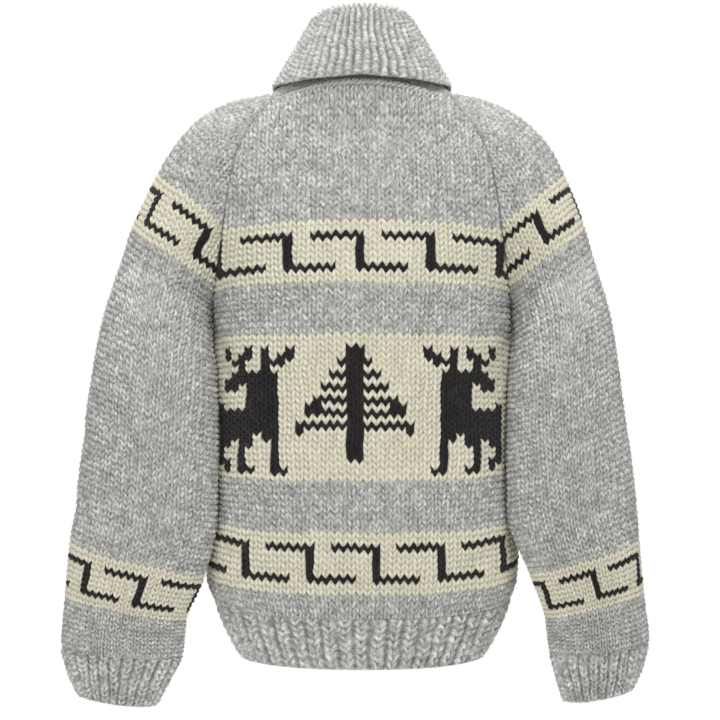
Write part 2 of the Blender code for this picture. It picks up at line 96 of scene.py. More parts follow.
def blended(grid, i, j, s, t):
    """Values between a grid's points: s of the way on from line i, and t from line j."""
    low = grid[i, j] * (1 - s) + grid[i + 1, j] * s
    high = grid[i, j + 1] * (1 - s) + grid[i + 1, j + 1] * s
    return low * (1 - t) + high * t


def unit(vectors):
    return vectors / np.linalg.norm(vectors, axis=-1, keepdims=True)


class Line:
    """A smooth line through values at given places, which never overshoots them."""

    def __init__(self, places, values):
        self.places = np.array(places, float)
        self.values = np.array(values, float)
        steps = np.diff(self.places)
        rises = np.diff(self.values) / steps
        before, after = rises[:-1], rises[1:]
        first = 2 * steps[1:] + steps[:-1]
        second = steps[1:] + 2 * steps[:-1]
        turning = before * after <= 0
        safe_before = np.where(turning, 1, before)
        safe_after = np.where(turning, 1, after)
        middle = (first + second) / (first / safe_before + second / safe_after)
        self.slopes = np.concatenate([rises[:1], np.where(turning, 0, middle), rises[-1:]])
        self.steps = steps

    def __call__(self, place):
        place = np.clip(place, self.places[0], self.places[-1])
        at = np.clip(np.searchsorted(self.places, place, side="right") - 1, 0, len(self.steps) - 1)
        step = self.steps[at]
        share = (place - self.places[at]) / step
        bend = share * share * (3 - 2 * share)
        lead = share * (1 - share) ** 2 * self.slopes[at] * step
        trail = share * share * (share - 1) * self.slopes[at + 1] * step
        return self.values[at] * (1 - bend) + self.values[at + 1] * bend + lead + trail


def lines(names, table):
    """A smooth line for each named column of a table, over its first column."""
    columns = np.array(table).T
    return {name: Line(columns[0], column) for name, column in zip(names.split()[1:], columns[1:])}


BODY = lines("row back_z back_depth front_z front_depth side", [
    (-9, -0.6175, 0.102, -0.6175, 0.099, 0.1365),
    (-4.5, -0.583, 0.111, -0.583, 0.108, 0.1545),
    (0, -0.551, 0.118, -0.551, 0.116, 0.166),
    (3, -0.531, 0.123, -0.531, 0.121, 0.1725),
    (8, -0.497, 0.127, -0.497, 0.126, 0.1745),
    (16, -0.443, 0.129, -0.443, 0.128, 0.1695),
    (28, -0.361, 0.130, -0.361, 0.129, 0.165),
    (40, -0.280, 0.130, -0.280, 0.129, 0.165),
    (48, -0.226, 0.129, -0.226, 0.128, 0.166),
    (56, -0.1725, 0.126, -0.174, 0.123, 0.157),
    (61, -0.139, 0.122, -0.142, 0.118, 0.1515),
    (66, -0.106, 0.117, -0.110, 0.111, 0.146),
    (72, -0.067, 0.109, -0.072, 0.101, 0.138),
    (78, -0.029, 0.098, -0.038, 0.089, 0.121),
    (83, 0.000, 0.087, -0.012, 0.077, 0.0975),
])
TOP = lines("row left_x right_x z half_depth hang_y", [
    (-27, 0.3145, 0.2970, -0.6535, 0.031, 0.044),
    (-22, 0.3240, 0.3090, -0.625, 0.040, 0.046),
    (-18, 0.3290, 0.3140, -0.599, 0.046, 0.049),
    (-9, 0.3245, 0.3080, -0.545, 0.049, 0.055),
    (1, 0.3180, 0.3015, -0.4855, 0.051, 0.061),
    (12, 0.3075, 0.2945, -0.410, 0.054, 0.064),
    (24, 0.2985, 0.2835, -0.3285, 0.058, 0.060),
    (36, 0.2860, 0.2735, -0.2465, 0.065, 0.046),
    (44, 0.2725, 0.2635, -0.192, 0.072, 0.020),
    (48, 0.266, 0.257, -0.163, 0.0745, 0.0),
    (51, 0.260, 0.251, -0.1425, 0.076, 0.0),
    (56, 0.246, 0.2405, -0.110, 0.078, 0.0),
    (61, 0.2307, 0.228, -0.079, 0.080, 0.0),
    (66, 0.211, 0.210, -0.0455, 0.081, 0.0),
    (72, 0.180, 0.176, -0.0125, 0.080, 0.0),
    (78, 0.143, 0.137, 0.006, 0.072, 0.0),
    (83, 0.105, 0.105, 0.0125, 0.050, 0.0),
])
INNER = lines("row left_x right_x z", [
    (-27, 0.2285, 0.2240, -0.6665),
    (-22, 0.2130, 0.2150, -0.637),
    (-18, 0.2000, 0.2080, -0.611),
    (-9, 0.1955, 0.2030, -0.572),
    (1, 0.1740, 0.1850, -0.521),
    (12, 0.1600, 0.1610, -0.458),
    (24, 0.1595, 0.1600, -0.381),
    (36, 0.1620, 0.1625, -0.3045),
    (44, 0.1680, 0.1682, -0.253),
    (48, 0.166, 0.166, -0.226),
])
RAGLAN_ROWS = [
    (48, 0.166, -0.226, 180, 0.166, -0.226, 180),
    (49, 0.1653, -0.2215, 165, 0.1653, -0.222, 165),
    (51, 0.1625, -0.207, 151, 0.1625, -0.209, 151),
    (56, 0.157, -0.172, 128, 0.157, -0.176, 128),
    (61, 0.1515, -0.140, 109, 0.1515, -0.146, 109),
    (66, 0.146, -0.105, 98, 0.145, -0.113, 98),
    (72, 0.138, -0.066, 90, 0.133, -0.076, 89),
    (78, 0.121, -0.028, 71, 0.112, -0.041, 67),
    (83, 0.0975, 0.002, 74, 0.086, -0.012, 64),
]
RAGLAN = lines("row back_x back_z back_turn front_x front_z front_turn", RAGLAN_ROWS)
CAP_SCALE = NECK_ROW - UNDERARM_ROW
TURN = {
    face: Line([math.sqrt((row[0] - UNDERARM_ROW) / CAP_SCALE) for row in RAGLAN_ROWS],
               [math.radians(row[at]) for row in RAGLAN_ROWS])
    for face, at in (("back", 3), ("front", 6))
}
COLLAR = lines("share fold_x fold_y fold_z edge_x edge_y edge_z bulge", [
    (0.00, 0.000, 0.058, 0.101, 0.000, 0.110, 0.019, 0.006),
    (0.17, 0.025, 0.053, 0.101, 0.043, 0.102, 0.0165, 0.003),
    (0.33, 0.046, 0.034, 0.098, 0.077, 0.073, 0.0155, -0.002),
    (0.49, 0.0550, 0.003, 0.092, 0.098, 0.012, 0.0190, -0.005),
    (0.64, 0.0500, -0.034, 0.078, 0.100, -0.055, 0.010, -0.003),
    (0.80, 0.036, -0.075, 0.034, 0.092, -0.106, -0.035, 0.002),
    (0.92, 0.021, -0.106, -0.022, 0.074, -0.127, -0.083, 0.004),
    (1.00, 0.013, -0.121, -0.058, 0.056, -0.131, -0.118, 0.005),
])
FOLD_RADIUS = 0.0042
COLLAR_GAP = 0.0006
STAND_FULLNESS = 0.45
STAND_STEPS, FOLD_STEPS, LEAF_STEPS = 8, 8, 12


def point(x, y, z):
    return np.stack(np.broadcast_arrays(x, y, z), axis=-1).astype(float)


def seam_turn(face, row):
    return TURN[face](np.sqrt(np.clip((row - UNDERARM_ROW) / CAP_SCALE, 0, 1)))


class RowForm:
    """The oval of a row of the body: half its width and depth, and where it ends at the seam."""

    def __init__(self, face, row):
        above = row > UNDERARM_ROW
        self.sign = 1 if face == "back" else -1
        self.depth = BODY[face + "_depth"](row)
        self.middle_z = BODY[face + "_z"](row)
        self.end_x = np.where(above, RAGLAN[face + "_x"](row), BODY["side"](row))
        end_y = np.where(above, TOP["half_depth"](row) * np.sin(seam_turn(face, row)), 0)
        self.end_z = np.where(above, RAGLAN[face + "_z"](row), BODY["back_z"](row))
        fullness = 1 - (end_y / self.depth) ** SQUARENESS
        self.width = self.end_x / fullness ** (1 / SQUARENESS)
        self.last = self.angle(self.end_x)

    def angle(self, x):
        return np.arcsin(np.clip((x / self.width) ** (SQUARENESS / 2), 0, 1))

    def place(self, side, angle):
        x = self.width * np.sin(angle) ** (2 / SQUARENESS)
        y = self.depth * np.clip(np.cos(angle), 0, 1) ** (2 / SQUARENESS)
        z = self.middle_z + (self.end_z - self.middle_z) * (x / self.end_x) ** 2
        return point(side * x, self.sign * y, z)


def body_place(side, face, row, share):
    """A point of the body's surface: share runs from 0 in the middle to 1 at the side or raglan seam."""
    row, share = np.broadcast_arrays(np.asarray(row, float), np.asarray(share, float))
    form = RowForm(face, row)
    return form.place(side, form.last * share)


def front_place(side, row, x):
    """A point of a front's surface at a distance from the middle."""
    row, x = np.broadcast_arrays(np.asarray(row, float), np.asarray(x, float))
    form = RowForm("front", row)
    return form.place(side, form.angle(x))


def sleeve_place(side, row, turn):
    """A point of a sleeve's surface: turn is 1 at the back seam, 0 on the outer line, -1 in front."""
    row, turn = np.broadcast_arrays(np.asarray(row, float), np.asarray(turn, float))
    line = ("left" if side > 0 else "right") + "_x"
    tube = row <= UNDERARM_ROW
    behind = turn > 0
    below = np.clip((UNDERARM_ROW - row) / (UNDERARM_ROW - CUFF_END_ROW), 0, 1)
    lift = RIGHT_SHORTENING * below if side < 0 else 0
    cap_x, cap_z = (np.where(behind, RAGLAN["back" + axis](row), RAGLAN["front" + axis](row))
                    for axis in ("_x", "_z"))
    cap_turn = np.where(behind, seam_turn("back", row), seam_turn("front", row))
    inner_x = np.where(tube, INNER[line](row), cap_x)
    inner_z = np.where(tube, INNER["z"](row) + lift, cap_z)
    last = np.where(tube, math.pi, cap_turn)
    top_x, top_z = TOP[line](row), TOP["z"](row) + lift
    half_x = (top_x - inner_x) / (1 - np.cos(last))
    half_z = (top_z - inner_z) / (1 - np.cos(last))
    angle = np.abs(turn) * last
    x = top_x - half_x + half_x * np.cos(angle)
    z = top_z - half_z + half_z * np.cos(angle)
    y = TOP["hang_y"](row) + np.sign(turn) * TOP["half_depth"](row) * np.sin(angle)
    return point(side * x, y, z)


def front_start(row):
    """How far from the middle a front's row starts: at the zip, then along the neck's edge."""
    corner = RAGLAN["front_x"](NECK_ROW) - ZIP_EDGE
    rise = np.clip((row - VEE_ROW) / (NECK_ROW - VEE_ROW), 0, 1) ** VEE_BOW
    return ZIP_EDGE + (corner - ZIP_EDGE) * rise


class Span:
    """Stitches laid along half a row, which place(row, share) draws from 0 to 1.

    spread is how much wider than those in the middle the stitches at the side are stretched, and
    shaping(row) how many more there are than stitches says.
    """

    ROWS, SHARES = 180, 97  # lines of the grid on which it is measured

    def __init__(self, place, lowest, highest, stitches, spread=0, shaping=None):
        self.rows = np.linspace(lowest, highest, self.ROWS)
        shares = np.linspace(0, 1, self.SHARES)
        drawn = place(self.rows[:, None], shares[None, :])
        steps = np.linalg.norm(np.diff(drawn, axis=1), axis=2)
        across = np.maximum(np.abs(np.diff(drawn[..., 0], axis=1)), 1e-9)
        steps = steps / np.clip(steps / across, 1, 1 + spread)
        self.along = summed(steps)
        self.length = self.along[:, -1]
        self.even = np.stack([np.interp(shares, a / a[-1], shares) for a in self.along])
        widest = np.interp(UNDERARM_ROW, self.rows, self.length)
        shaped = stitches * (shaping(self.rows) if shaping else 1)
        self.counts = np.where(self.rows > UNDERARM_ROW, shaped * self.length / widest, shaped)
        self.drawn = drawn

    def count(self, row):
        """How many stitches lie between the middle and the seam."""
        return np.interp(row, self.rows, self.counts)

    def share(self, row, part):
        """The share at which a part of the row's length has been passed."""
        at = np.clip((row - self.rows[0]) / (self.rows[1] - self.rows[0]), 0, len(self.rows) - 1.001)
        across = np.clip(part, 0, 1) * (self.even.shape[1] - 1.001)
        low, left = at.astype(int), across.astype(int)
        return blended(self.even.T, left, low, across - left, at - low)

    def stitches_at(self, row, start_x):
        """How many stitches from the middle a distance across is reached."""
        row = np.asarray(row, float)
        found = [np.interp(start_x[i], np.abs(self.drawn[j, :, 0]), self.along[j]) * self.counts[j]
                 / self.length[j]
                 for i, j in enumerate(np.clip(np.searchsorted(self.rows, row), 0, len(self.rows) - 1))]
        return np.array(found)


BACK_STITCHES = 21.3  # in half the back
FRONT_STITCHES = 22  # in each front, up to the middle
NAPE_ROW = 76
NAPE_RISE = (0, 0.0135, 0.0175)  # of the back's edge over the collar's seam, above that row
BACK_LEAN = 0.33  # how far left of the middle the middle stitch lies, in stitches
BODY_SHAPING = Line((-9, 10, 24, 40, 48, 56, 83), (1.08, 1.08, 1.01, 1.0, 0.985, 0.95, 1.0))
SIDE_DROP = Line((-9, -6, 2, 8, 24, 40, 60, 74, 83), (0, -0.4, -2.0, -1.7, 0, 0.9, 1.0, 0, 0))
SIDE_BOW = 4
BACK_SPREAD = 0.45
FRONT_SPREAD = 0.3
SLEEVE_STITCHES = 21  # in half a sleeve
SLEEVE_SPREAD = 0.45
BODY_STITCHES = (("back", BACK_STITCHES, BACK_SPREAD), ("front", FRONT_STITCHES, FRONT_SPREAD))
back_span, front_span = (
    Span(lambda row, share, face=face: body_place(1, face, row, share), HEM_ROW, NECK_ROW,
         stitches, spread, BODY_SHAPING)
    for face, stitches, spread in BODY_STITCHES
)


def dropped(row, part):
    """The row's height in rows where the sides of the bands hang lower or higher than their middle."""
    return row - SIDE_DROP(row) * np.clip(part, 0, 1) ** SIDE_BOW


sleeve_spans = {
    (side, face): Span(lambda row, share, s=side, f=face: sleeve_place(s, row, share * f),
                       CUFF_END_ROW, NECK_ROW, SLEEVE_STITCHES, SLEEVE_SPREAD)
    for side in (1, -1) for face in (1, -1)
}


def back_at(column, row):
    """The back at a stitch and row. Columns run from the wearer's left to their right."""
    column = column - BACK_LEAN
    part = np.abs(column) / back_span.count(row)
    level = dropped(row, part)
    places = body_place(1, "back", level, back_span.share(level, part))
    places[..., 0] *= np.where(column > 0, -1, 1)
    risen = np.clip((row - NAPE_ROW) / (NECK_ROW - NAPE_ROW), 0, 1) ** 1.5 * (1 - np.clip(part, 0, 1) ** 2)
    return places + risen[..., None] * np.array(NAPE_RISE)


def front_at(side):
    def place(column, row):
        part = np.abs(column) / front_span.count(row)
        level = dropped(row, part)
        return body_place(side, "front", level, front_span.share(level, part))
    return place


def sleeve_at(side):
    def place(column, row):
        behind = column > 0
        back_half, front_half = sleeve_spans[side, 1], sleeve_spans[side, -1]
        part = np.abs(column) / np.where(behind, back_half.count(row), front_half.count(row))
        share = np.where(behind, back_half.share(row, part), front_half.share(row, part))
        return sleeve_place(side, row, np.where(behind, share, -share))
    return place


# ---------------------------------------------------------------- soft creases

# Where a trough or ridge lies, the way it runs, half its length and width, and its depth.
UNDERARM_CREASES = [
    ((0.158, 0.045, -0.262), (-0.50, 0.62, -0.60), 0.070, 0.0100, -0.0028),
    ((0.150, 0.062, -0.300), (-0.62, 0.52, -0.58), 0.055, 0.0085, -0.0022),
    ((0.150, 0.082, -0.215), (-0.72, 0.34, -0.42), 0.050, 0.0090, 0.0020),
    ((0.158, -0.045, -0.262), (-0.50, -0.62, -0.60), 0.065, 0.0100, -0.0028),
    ((0.150, -0.062, -0.300), (-0.62, -0.52, -0.58), 0.055, 0.0085, -0.0022),
    ((0.150, -0.082, -0.215), (-0.72, -0.34, -0.42), 0.050, 0.0090, 0.0020),
    ((0.166, 0.004, -0.268), (0.0, 0.12, -0.99), 0.050, 0.0320, 0.0016),
]
BODY_CREASES = [
    ((0.075, 0.125, -0.515), (0.93, -0.15, 0.22), 0.060, 0.0090, -0.0022),
    ((-0.090, 0.118, -0.520), (0.90, 0.18, -0.20), 0.055, 0.0085, -0.0024),
    ((-0.020, 0.130, -0.528), (0.99, 0.0, 0.10), 0.050, 0.0080, -0.0016),
    ((0.130, 0.085, -0.500), (0.60, -0.60, 0.40), 0.050, 0.0095, -0.0026),
    ((-0.135, 0.080, -0.495), (0.60, 0.62, -0.35), 0.050, 0.0095, -0.0026),
    ((0.085, -0.120, -0.515), (0.93, 0.15, 0.22), 0.060, 0.0090, -0.0024),
    ((-0.080, -0.120, -0.522), (0.93, -0.15, -0.18), 0.060, 0.0090, -0.0024),
    ((0.105, -0.112, -0.300), (0.45, 0.10, -0.85), 0.090, 0.0130, 0.0016),
    ((-0.105, -0.112, -0.300), (-0.45, 0.10, -0.85), 0.090, 0.0130, 0.0016),
    ((0.120, 0.100, -0.345), (0.38, -0.12, -0.90), 0.085, 0.0130, 0.0014),
    ((-0.120, 0.100, -0.355), (-0.38, -0.12, -0.90), 0.085, 0.0130, 0.0014),
]
SLEEVE_CREASES = [
    ((0.205, 0.108, -0.330), (0.72, 0.10, 0.62), 0.050, 0.0100, -0.0030),
    ((0.225, 0.115, -0.385), (0.80, 0.05, 0.50), 0.060, 0.0095, -0.0026),
    ((0.205, 0.100, -0.270), (0.70, 0.12, 0.66), 0.045, 0.0095, -0.0024),
    ((0.240, 0.112, -0.470), (0.85, 0.05, 0.35), 0.055, 0.0100, -0.0022),
    ((0.250, 0.100, -0.560), (0.92, 0.0, 0.20), 0.050, 0.0085, -0.0028),
    ((0.285, 0.090, -0.545), (0.88, 0.0, 0.30), 0.045, 0.0080, -0.0020),
    ((0.225, 0.002, -0.360), (0.78, 0.0, 0.55), 0.055, 0.0100, -0.0028),
    ((0.240, 0.008, -0.440), (0.84, 0.0, 0.42), 0.055, 0.0100, -0.0026),
    ((0.255, 0.010, -0.560), (0.92, 0.0, 0.20), 0.055, 0.0085, -0.0028),
    ((0.315, 0.060, -0.450), (0.10, 0.75, 0.55), 0.055, 0.0110, -0.0020),
    ((0.300, 0.045, -0.350), (0.12, 0.70, -0.60), 0.050, 0.0110, -0.0018),
    ((0.245, -0.040, -0.175), (0.35, -0.55, -0.75), 0.050, 0.0110, -0.0022),
    ((0.235, 0.055, -0.165), (0.35, 0.55, -0.75), 0.045, 0.0110, -0.0018),
]


MIRRORED_DEPTH = 0.9
CREASE_BEND = 0.10  # how far a crease bows over half its length, in half lengths


def mirrored(creases, shift_z):
    """The creases of the other side, shallower and shifted so the sides aren't alike."""
    return [((-x, y, z + shift_z), (-a, b, c), long, wide, depth * MIRRORED_DEPTH)
            for (x, y, z), (a, b, c), long, wide, depth in creases]


CREASES = (UNDERARM_CREASES + mirrored(UNDERARM_CREASES, -0.012) + BODY_CREASES
           + SLEEVE_CREASES + mirrored(SLEEVE_CREASES, 0.014))


def crease_heights(places):
    """How far the creases lift or sink each place."""
    heights = np.zeros(places.shape[:-1])
    for centre, way, long, wide, depth in CREASES:
        way = np.array(way) / np.linalg.norm(way)
        offset = places - np.array(centre)
        along = offset @ way
        bend = CREASE_BEND * along * along / long
        across = np.sqrt(np.maximum((offset * offset).sum(-1) - along * along, 0)) - bend
        heights += depth * np.exp(-((along / long) ** 2) - (across / wide) ** 2)
    return heights


def wander(seed, across, along, cell_across, cell_along):
    """A soft random surface between -1 and 1, with cells of the given size."""
    rng = np.random.default_rng(seed)
    across = (across - across.min()) / cell_across
    along = (along - along.min()) / cell_along
    grid = rng.uniform(-1, 1, (int(across.max()) + 2, int(along.max()) + 2))
    i, j = across.astype(int), along.astype(int)
    s, t = across - i, along - j
    s, t = s * s * (3 - 2 * s), t * t * (3 - 2 * t)
    return blended(grid, i, j, s, t)


# ---------------------------------------------------------------- the charts

GREY, IVORY, CHARCOAL = 0.0, 1.0, 2.0
LOW_FRET, FIGURES, HIGH_FRET = (2, 12), (20, 43), (51, 61)
SLEEVE_FRET = (-9, 1)
FRET_REPEAT = 8

STAG = [
    "#..#.#..#.",
    "##.#.##.#.",
    ".###..##..",
    "...#..#...",
    "..######..",
    "..#######.",
    "..####.##.",
    "..####....",
    "..####....",
    "..####...#",
    "..########",
    "..########",
    "..########",
    "..########",
    "..##.#####",
    "..#..##.##",
    "..#...#..#",
    "..#...#..#",
    "..#...#.##",
    ".##..##.#.",
]
FIR = [
    "......##......",
    "......##......",
    ".....####.....",
    "......##......",
    "....######....",
    "......##......",
    "...########...",
    "......##......",
    "..##########..",
    ".##...##...##.",
    ".############.",
    "......##......",
    "##############",
    "#.....##.....#",
    "......##......",
    "......##......",
    "......##......",
    "......##......",
]
STAG_FOOT_ROW = 21
FIR_FOOT_ROW = 23
STAG_COLUMN = -17  # the first of the left stag on the back
MIRRORED_STAG_COLUMN = 8
FIR_COLUMN = -7
FRONT_STAG_COLUMN = 5  # on a front, counted outwards from the zip


def stitched(figure, column, row, first_column, foot_row, mirrored):
    """Where a figure has a charcoal stitch."""
    chart = np.array([[cell == "#" for cell in line] for line in reversed(figure)])
    if mirrored:
        chart = chart[:, ::-1]
    i = row - foot_row
    j = column - first_column
    inside = (i >= 0) & (i < chart.shape[0]) & (j >= 0) & (j < chart.shape[1])
    return inside & chart[np.clip(i, 0, chart.shape[0] - 1), np.clip(j, 0, chart.shape[1] - 1)]


def fret(column, row, band, shift):
    """Steps of one thread: a bar, an upright at its end, and a bar that goes on below."""
    step = (column - shift) % FRET_REPEAT
    height = row - band[0]
    upright = (step == 0) & (height >= 2) & (height <= 7)
    upper = (height == 7) & ((step >= 3) | (step == 0))
    lower = (height == 2) & (step <= 5)
    return upright | upper | lower


def in_band(row, band):
    return (row >= band[0]) & (row < band[1])


def banded(column, row):
    """The body's grey and ivory bands, with their frets."""
    ivory = in_band(row, LOW_FRET) | in_band(row, FIGURES) | in_band(row, HIGH_FRET)
    dark = in_band(row, LOW_FRET) & fret(column, row, LOW_FRET, 2)
    dark |= in_band(row, HIGH_FRET) & fret(column, row, HIGH_FRET, 0)
    return np.where(dark, CHARCOAL, np.where(ivory, IVORY, GREY))


def back_yarn(column, row):
    """Columns count from the middle stitch, 0, towards the wearer's right."""
    dark = stitched(STAG, column, row, STAG_COLUMN, STAG_FOOT_ROW, True)
    dark |= stitched(STAG, column, row, MIRRORED_STAG_COLUMN, STAG_FOOT_ROW, False)
    dark |= stitched(FIR, column, row, FIR_COLUMN, FIR_FOOT_ROW, False)
    return np.where(dark, CHARCOAL, banded(column, row))


def front_yarn(side):
    """Columns count from the zip outwards."""
    def yarn(column, row):
        dark = stitched(STAG, column, row, FRONT_STAG_COLUMN, STAG_FOOT_ROW, False)
        return np.where(dark, CHARCOAL, banded(side * column, row))
    return yarn


SLEEVE_SHIFTS = {1: (4, 5), -1: (6, 6)}  # of the low and the high fret


def sleeve_yarn(side):
    def yarn(column, row):
        low, high = SLEEVE_SHIFTS[side]
        dark = in_band(row, SLEEVE_FRET) & fret(side * column, row, SLEEVE_FRET, low)
        dark |= in_band(row, HIGH_FRET) & fret(side * column, row, HIGH_FRET, high)
        ivory = in_band(row, SLEEVE_FRET) | in_band(row, HIGH_FRET)
        return np.where(dark, CHARCOAL, np.where(ivory, IVORY, GREY))
    return yarn


def plain_yarn(column, row):
    return np.full(np.shape(column), GREY)


# ---------------------------------------------------------------- stitches

SEAM_SHARE = 0.006  # half a seam's space, in stitches or rows


class Knit:
    """A kind of stitch, by steps across it: where each lies, how it climbs, and its height over a row."""

    def __init__(self, pitch, height, table, offset=0):
        """offset is how many steps every second row is moved along."""
        self.pitch = pitch
        self.height = height
        self.offset = offset
        self.places = np.array([line[0] for line in table])
        self.climbs = np.array([line[1] for line in table])
        self.relief = np.array([line[2:] for line in table]) - 0.5
        self.steps = len(table)
        self.row_steps = self.relief.shape[1]


# Each line: place across the stitch, climb in rows, and heights from the foot of a row to its head.
STOCKING = Knit(0.0093, 0.0038, [
    (0 / 6, 0.82, -0.15, 0.22, 0.16),
    (1 / 6, 0.60, 0.30, 0.96, 0.84),
    (2 / 6, 0.26, 0.26, 0.90, 1.00),
    (3 / 6, 0.00, -0.15, 0.26, 0.20),
    (4 / 6, 0.26, 0.26, 0.90, 1.00),
    (5 / 6, 0.60, 0.30, 0.96, 0.84),
])
RIB_TABLE = [
    (0.00, 0.40, -0.42, -0.22, -0.30),
    (0.13, 0.72, -0.10, 0.25, 0.20),
    (0.25, 0.66, 0.34, 1.00, 0.88),
    (0.38, 0.30, 0.32, 0.95, 1.04),
    (0.50, 0.00, -0.10, 0.38, 0.32),
    (0.62, 0.30, 0.32, 0.95, 1.04),
    (0.75, 0.66, 0.34, 1.00, 0.88),
    (0.87, 0.72, -0.10, 0.25, 0.20),
]
HEM_RIB = Knit(0.0165, 0.0044, RIB_TABLE)
CUFF_RIB = Knit(0.0116, 0.0040, RIB_TABLE)
# The collar's columns run along its profile: a stitch here is one bump of a column.
COLLAR_RIB = Knit(0.0066, 0.0040, [
    (0.00, 0, -0.60, 0.05, 0.42, 0.50, 0.42, 0.05),
    (0.25, 0, -0.50, 0.25, 0.86, 0.98, 0.86, 0.25),
    (0.50, 0, -0.50, 0.30, 0.98, 1.12, 0.98, 0.30),
    (0.75, 0, -0.50, 0.22, 0.82, 0.92, 0.82, 0.22),
], offset=2)


class Cloth:
    """A grid of fine quads over a piece, a coarse one behind it for its inner face, and rims between."""

    def __init__(self, name, across, along, backed_across, backed_along):
        """across and along count the fine quads, and backed_ how many of them one coarse quad backs."""
        self.across = across
        self.along = along
        cloth = bmesh.new()
        outer = bmesh.ops.create_grid(cloth, x_segments=across, y_segments=along, size=0.5)["verts"]
        fine = self.in_lines(outer, across)
        backing = (across // backed_across, along // backed_along)
        inner = bmesh.ops.create_grid(cloth, x_segments=backing[0], y_segments=backing[1], size=0.5)["verts"]
        coarse = self.in_lines(inner, backing[0])
        bmesh.ops.reverse_faces(cloth, faces=list({face for vert in inner for face in vert.link_faces}))
        bmesh.ops.translate(cloth, verts=inner, vec=(0, 0, -1))
        for edge, behind in zip(self.sides(fine), self.sides(coarse)):
            step = (len(edge) - 1) // (len(behind) - 1)
            for i in range(len(behind) - 1):
                run = edge[i * step:(i + 1) * step + 1]
                cloth.faces.new(run[::-1] + [behind[i], behind[i + 1]])
        self.mesh = as_mesh(name, cloth)
        self.object = linked(name, self.mesh)
        flat = np.empty(len(self.mesh.vertices) * 3)
        self.mesh.vertices.foreach_get("co", flat)
        flat = flat.reshape(-1, 3)
        self.i = np.rint((flat[:, 0] + 0.5) * across).astype(int)
        self.j = np.rint((flat[:, 1] + 0.5) * along).astype(int)
        self.inner = flat[:, 2] < -0.5
        self.corners = np.empty(len(self.mesh.loops), np.int32)
        self.mesh.loops.foreach_get("vertex_index", self.corners)
        self.starts = np.empty(len(self.mesh.polygons), np.int32)
        self.totals = np.empty(len(self.mesh.polygons), np.int32)
        self.mesh.polygons.foreach_get("loop_start", self.starts)
        self.mesh.polygons.foreach_get("loop_total", self.totals)

    @staticmethod
    def in_lines(verts, across):
        """A new grid's vertices, line by line."""
        return [verts[i:i + across + 1] for i in range(0, len(verts), across + 1)]

    @staticmethod
    def sides(lines):
        """The four sides of a grid, one way round."""
        return (lines[0], [line[-1] for line in lines], lines[-1][::-1], [line[0] for line in lines][::-1])

    def over_faces(self, values):
        """The mean of the vertices' values over each face."""
        return np.add.reduceat(values[self.corners].astype(float), self.starts) / self.totals

    def keep(self, name, values, domain="FACE"):
        kind = "FLOAT" if np.ndim(values) == 1 else "FLOAT_VECTOR"
        layer = self.mesh.attributes.new(name, kind, domain)
        layer.data.foreach_set(
            "value" if kind == "FLOAT" else "vector", np.ascontiguousarray(values, np.float32).ravel()
        )

    def lay_out(self):
        """A flat layout: the outer face, and beside it the rims and the inner face."""
        u = (self.i / self.across)[self.corners]
        v = (self.j / self.along)[self.corners]
        hidden = self.inner[self.corners]
        inside = np.repeat(self.over_faces(self.inner), self.totals)
        rim = (inside > 0) & (inside < 1)
        level = np.repeat(self.over_faces((self.j == 0) | (self.j == self.along)) == 1, self.totals)
        # The outer face fills 0.80 of the width. The rims' two strips and the inner face are beside it.
        x = np.where(inside == 1, 0.85 + 0.14 * u, 0.80 * u)
        x = np.where(rim, np.where(hidden, 0.83, 0.815), x)
        start = np.where(level, np.where(v > 0.5, 0.52, 0.77), np.where(u > 0.5, 0.01, 0.26))
        y = np.where(rim, start + 0.22 * np.where(level, u, v), v)
        layer = self.mesh.uv_layers.new(name="OFBake")
        layer.data.foreach_set("uv", np.stack([x, y], 1).astype(np.float32).ravel())

    def finish(self, places):
        """Puts the points in place and closes the mesh where points have met."""
        self.lay_out()
        self.mesh.vertices.foreach_set("co", np.ascontiguousarray(places, np.float32).ravel())
        cloth = bmesh.new()
        cloth.from_mesh(self.mesh)
        bmesh.ops.remove_doubles(cloth, verts=cloth.verts, dist=0.00001)
        bmesh.ops.recalc_face_normals(cloth, faces=cloth.faces)
        cloth.to_mesh(self.mesh)
        cloth.free()
        self.mesh.shade_smooth()
        return self.object


# How far stitches stray along and across, in stitches: soft waves, then single ones.
LOOSE = (0.18, 0.12)
SWAY = (0.12, 0.09)
PLUMPNESS = (0.74, 1.18)
UNEVEN = 0.0007  # height of the cloth's slow waves
EDGE_CATCH = 0.06  # a stitch this near to an edge is drawn onto it, in stitches
SEAM_DIP, SEAM_DIP_REACH = 0.0005, 0.0020
SEAM_RIDGE, SEAM_RIDGE_AT, SEAM_RIDGE_REACH = 0.0008, 0.0045, 0.0035
EDGE_FADE, END_FADE = 0.0018, 0.15  # in metres across, and in rows
CURL, CURL_THINNING = 0.0013, 0.35  # of a loose edge
CURL_REACH = {"low": 0.55, "high": 0.55, "first": 0.004, "last": 0.004}
ROW_MIDDLE = 0.4
EDGE_WALL, FULL_WALL = 0.45, 0.85  # of the wall's thickness
SETTLING = 0.012  # how far in from an edge the wall and the creases are full
EDGE_CREASE = 0.3
TONE_SPREAD = 0.4
INNER_PAINTED_SHADE_DEPTH = 0.2  # the plain inner face gets the painted shade of a stitch of this height
GRAIN_SHIFT = 1.7  # moves each piece's fibres on by its seed


def outward(place, column, row, facing):
    """The surface's direction, from its places a little to each side."""
    step = 0.05
    across = place(column + step, row) - place(column - step, row)
    along = place(column, row + step) - place(column, row - step)
    normal = np.cross(across, along) * facing
    return normal / np.maximum(np.linalg.norm(normal, axis=-1, keepdims=True), 1e-12)


def rounded(away, reach):
    """How far a rounded edge has curved in, from 1 at the edge to 0 at reach."""
    return 1 - np.sqrt(1 - np.clip(1 - away / reach, 0, 1) ** 2)


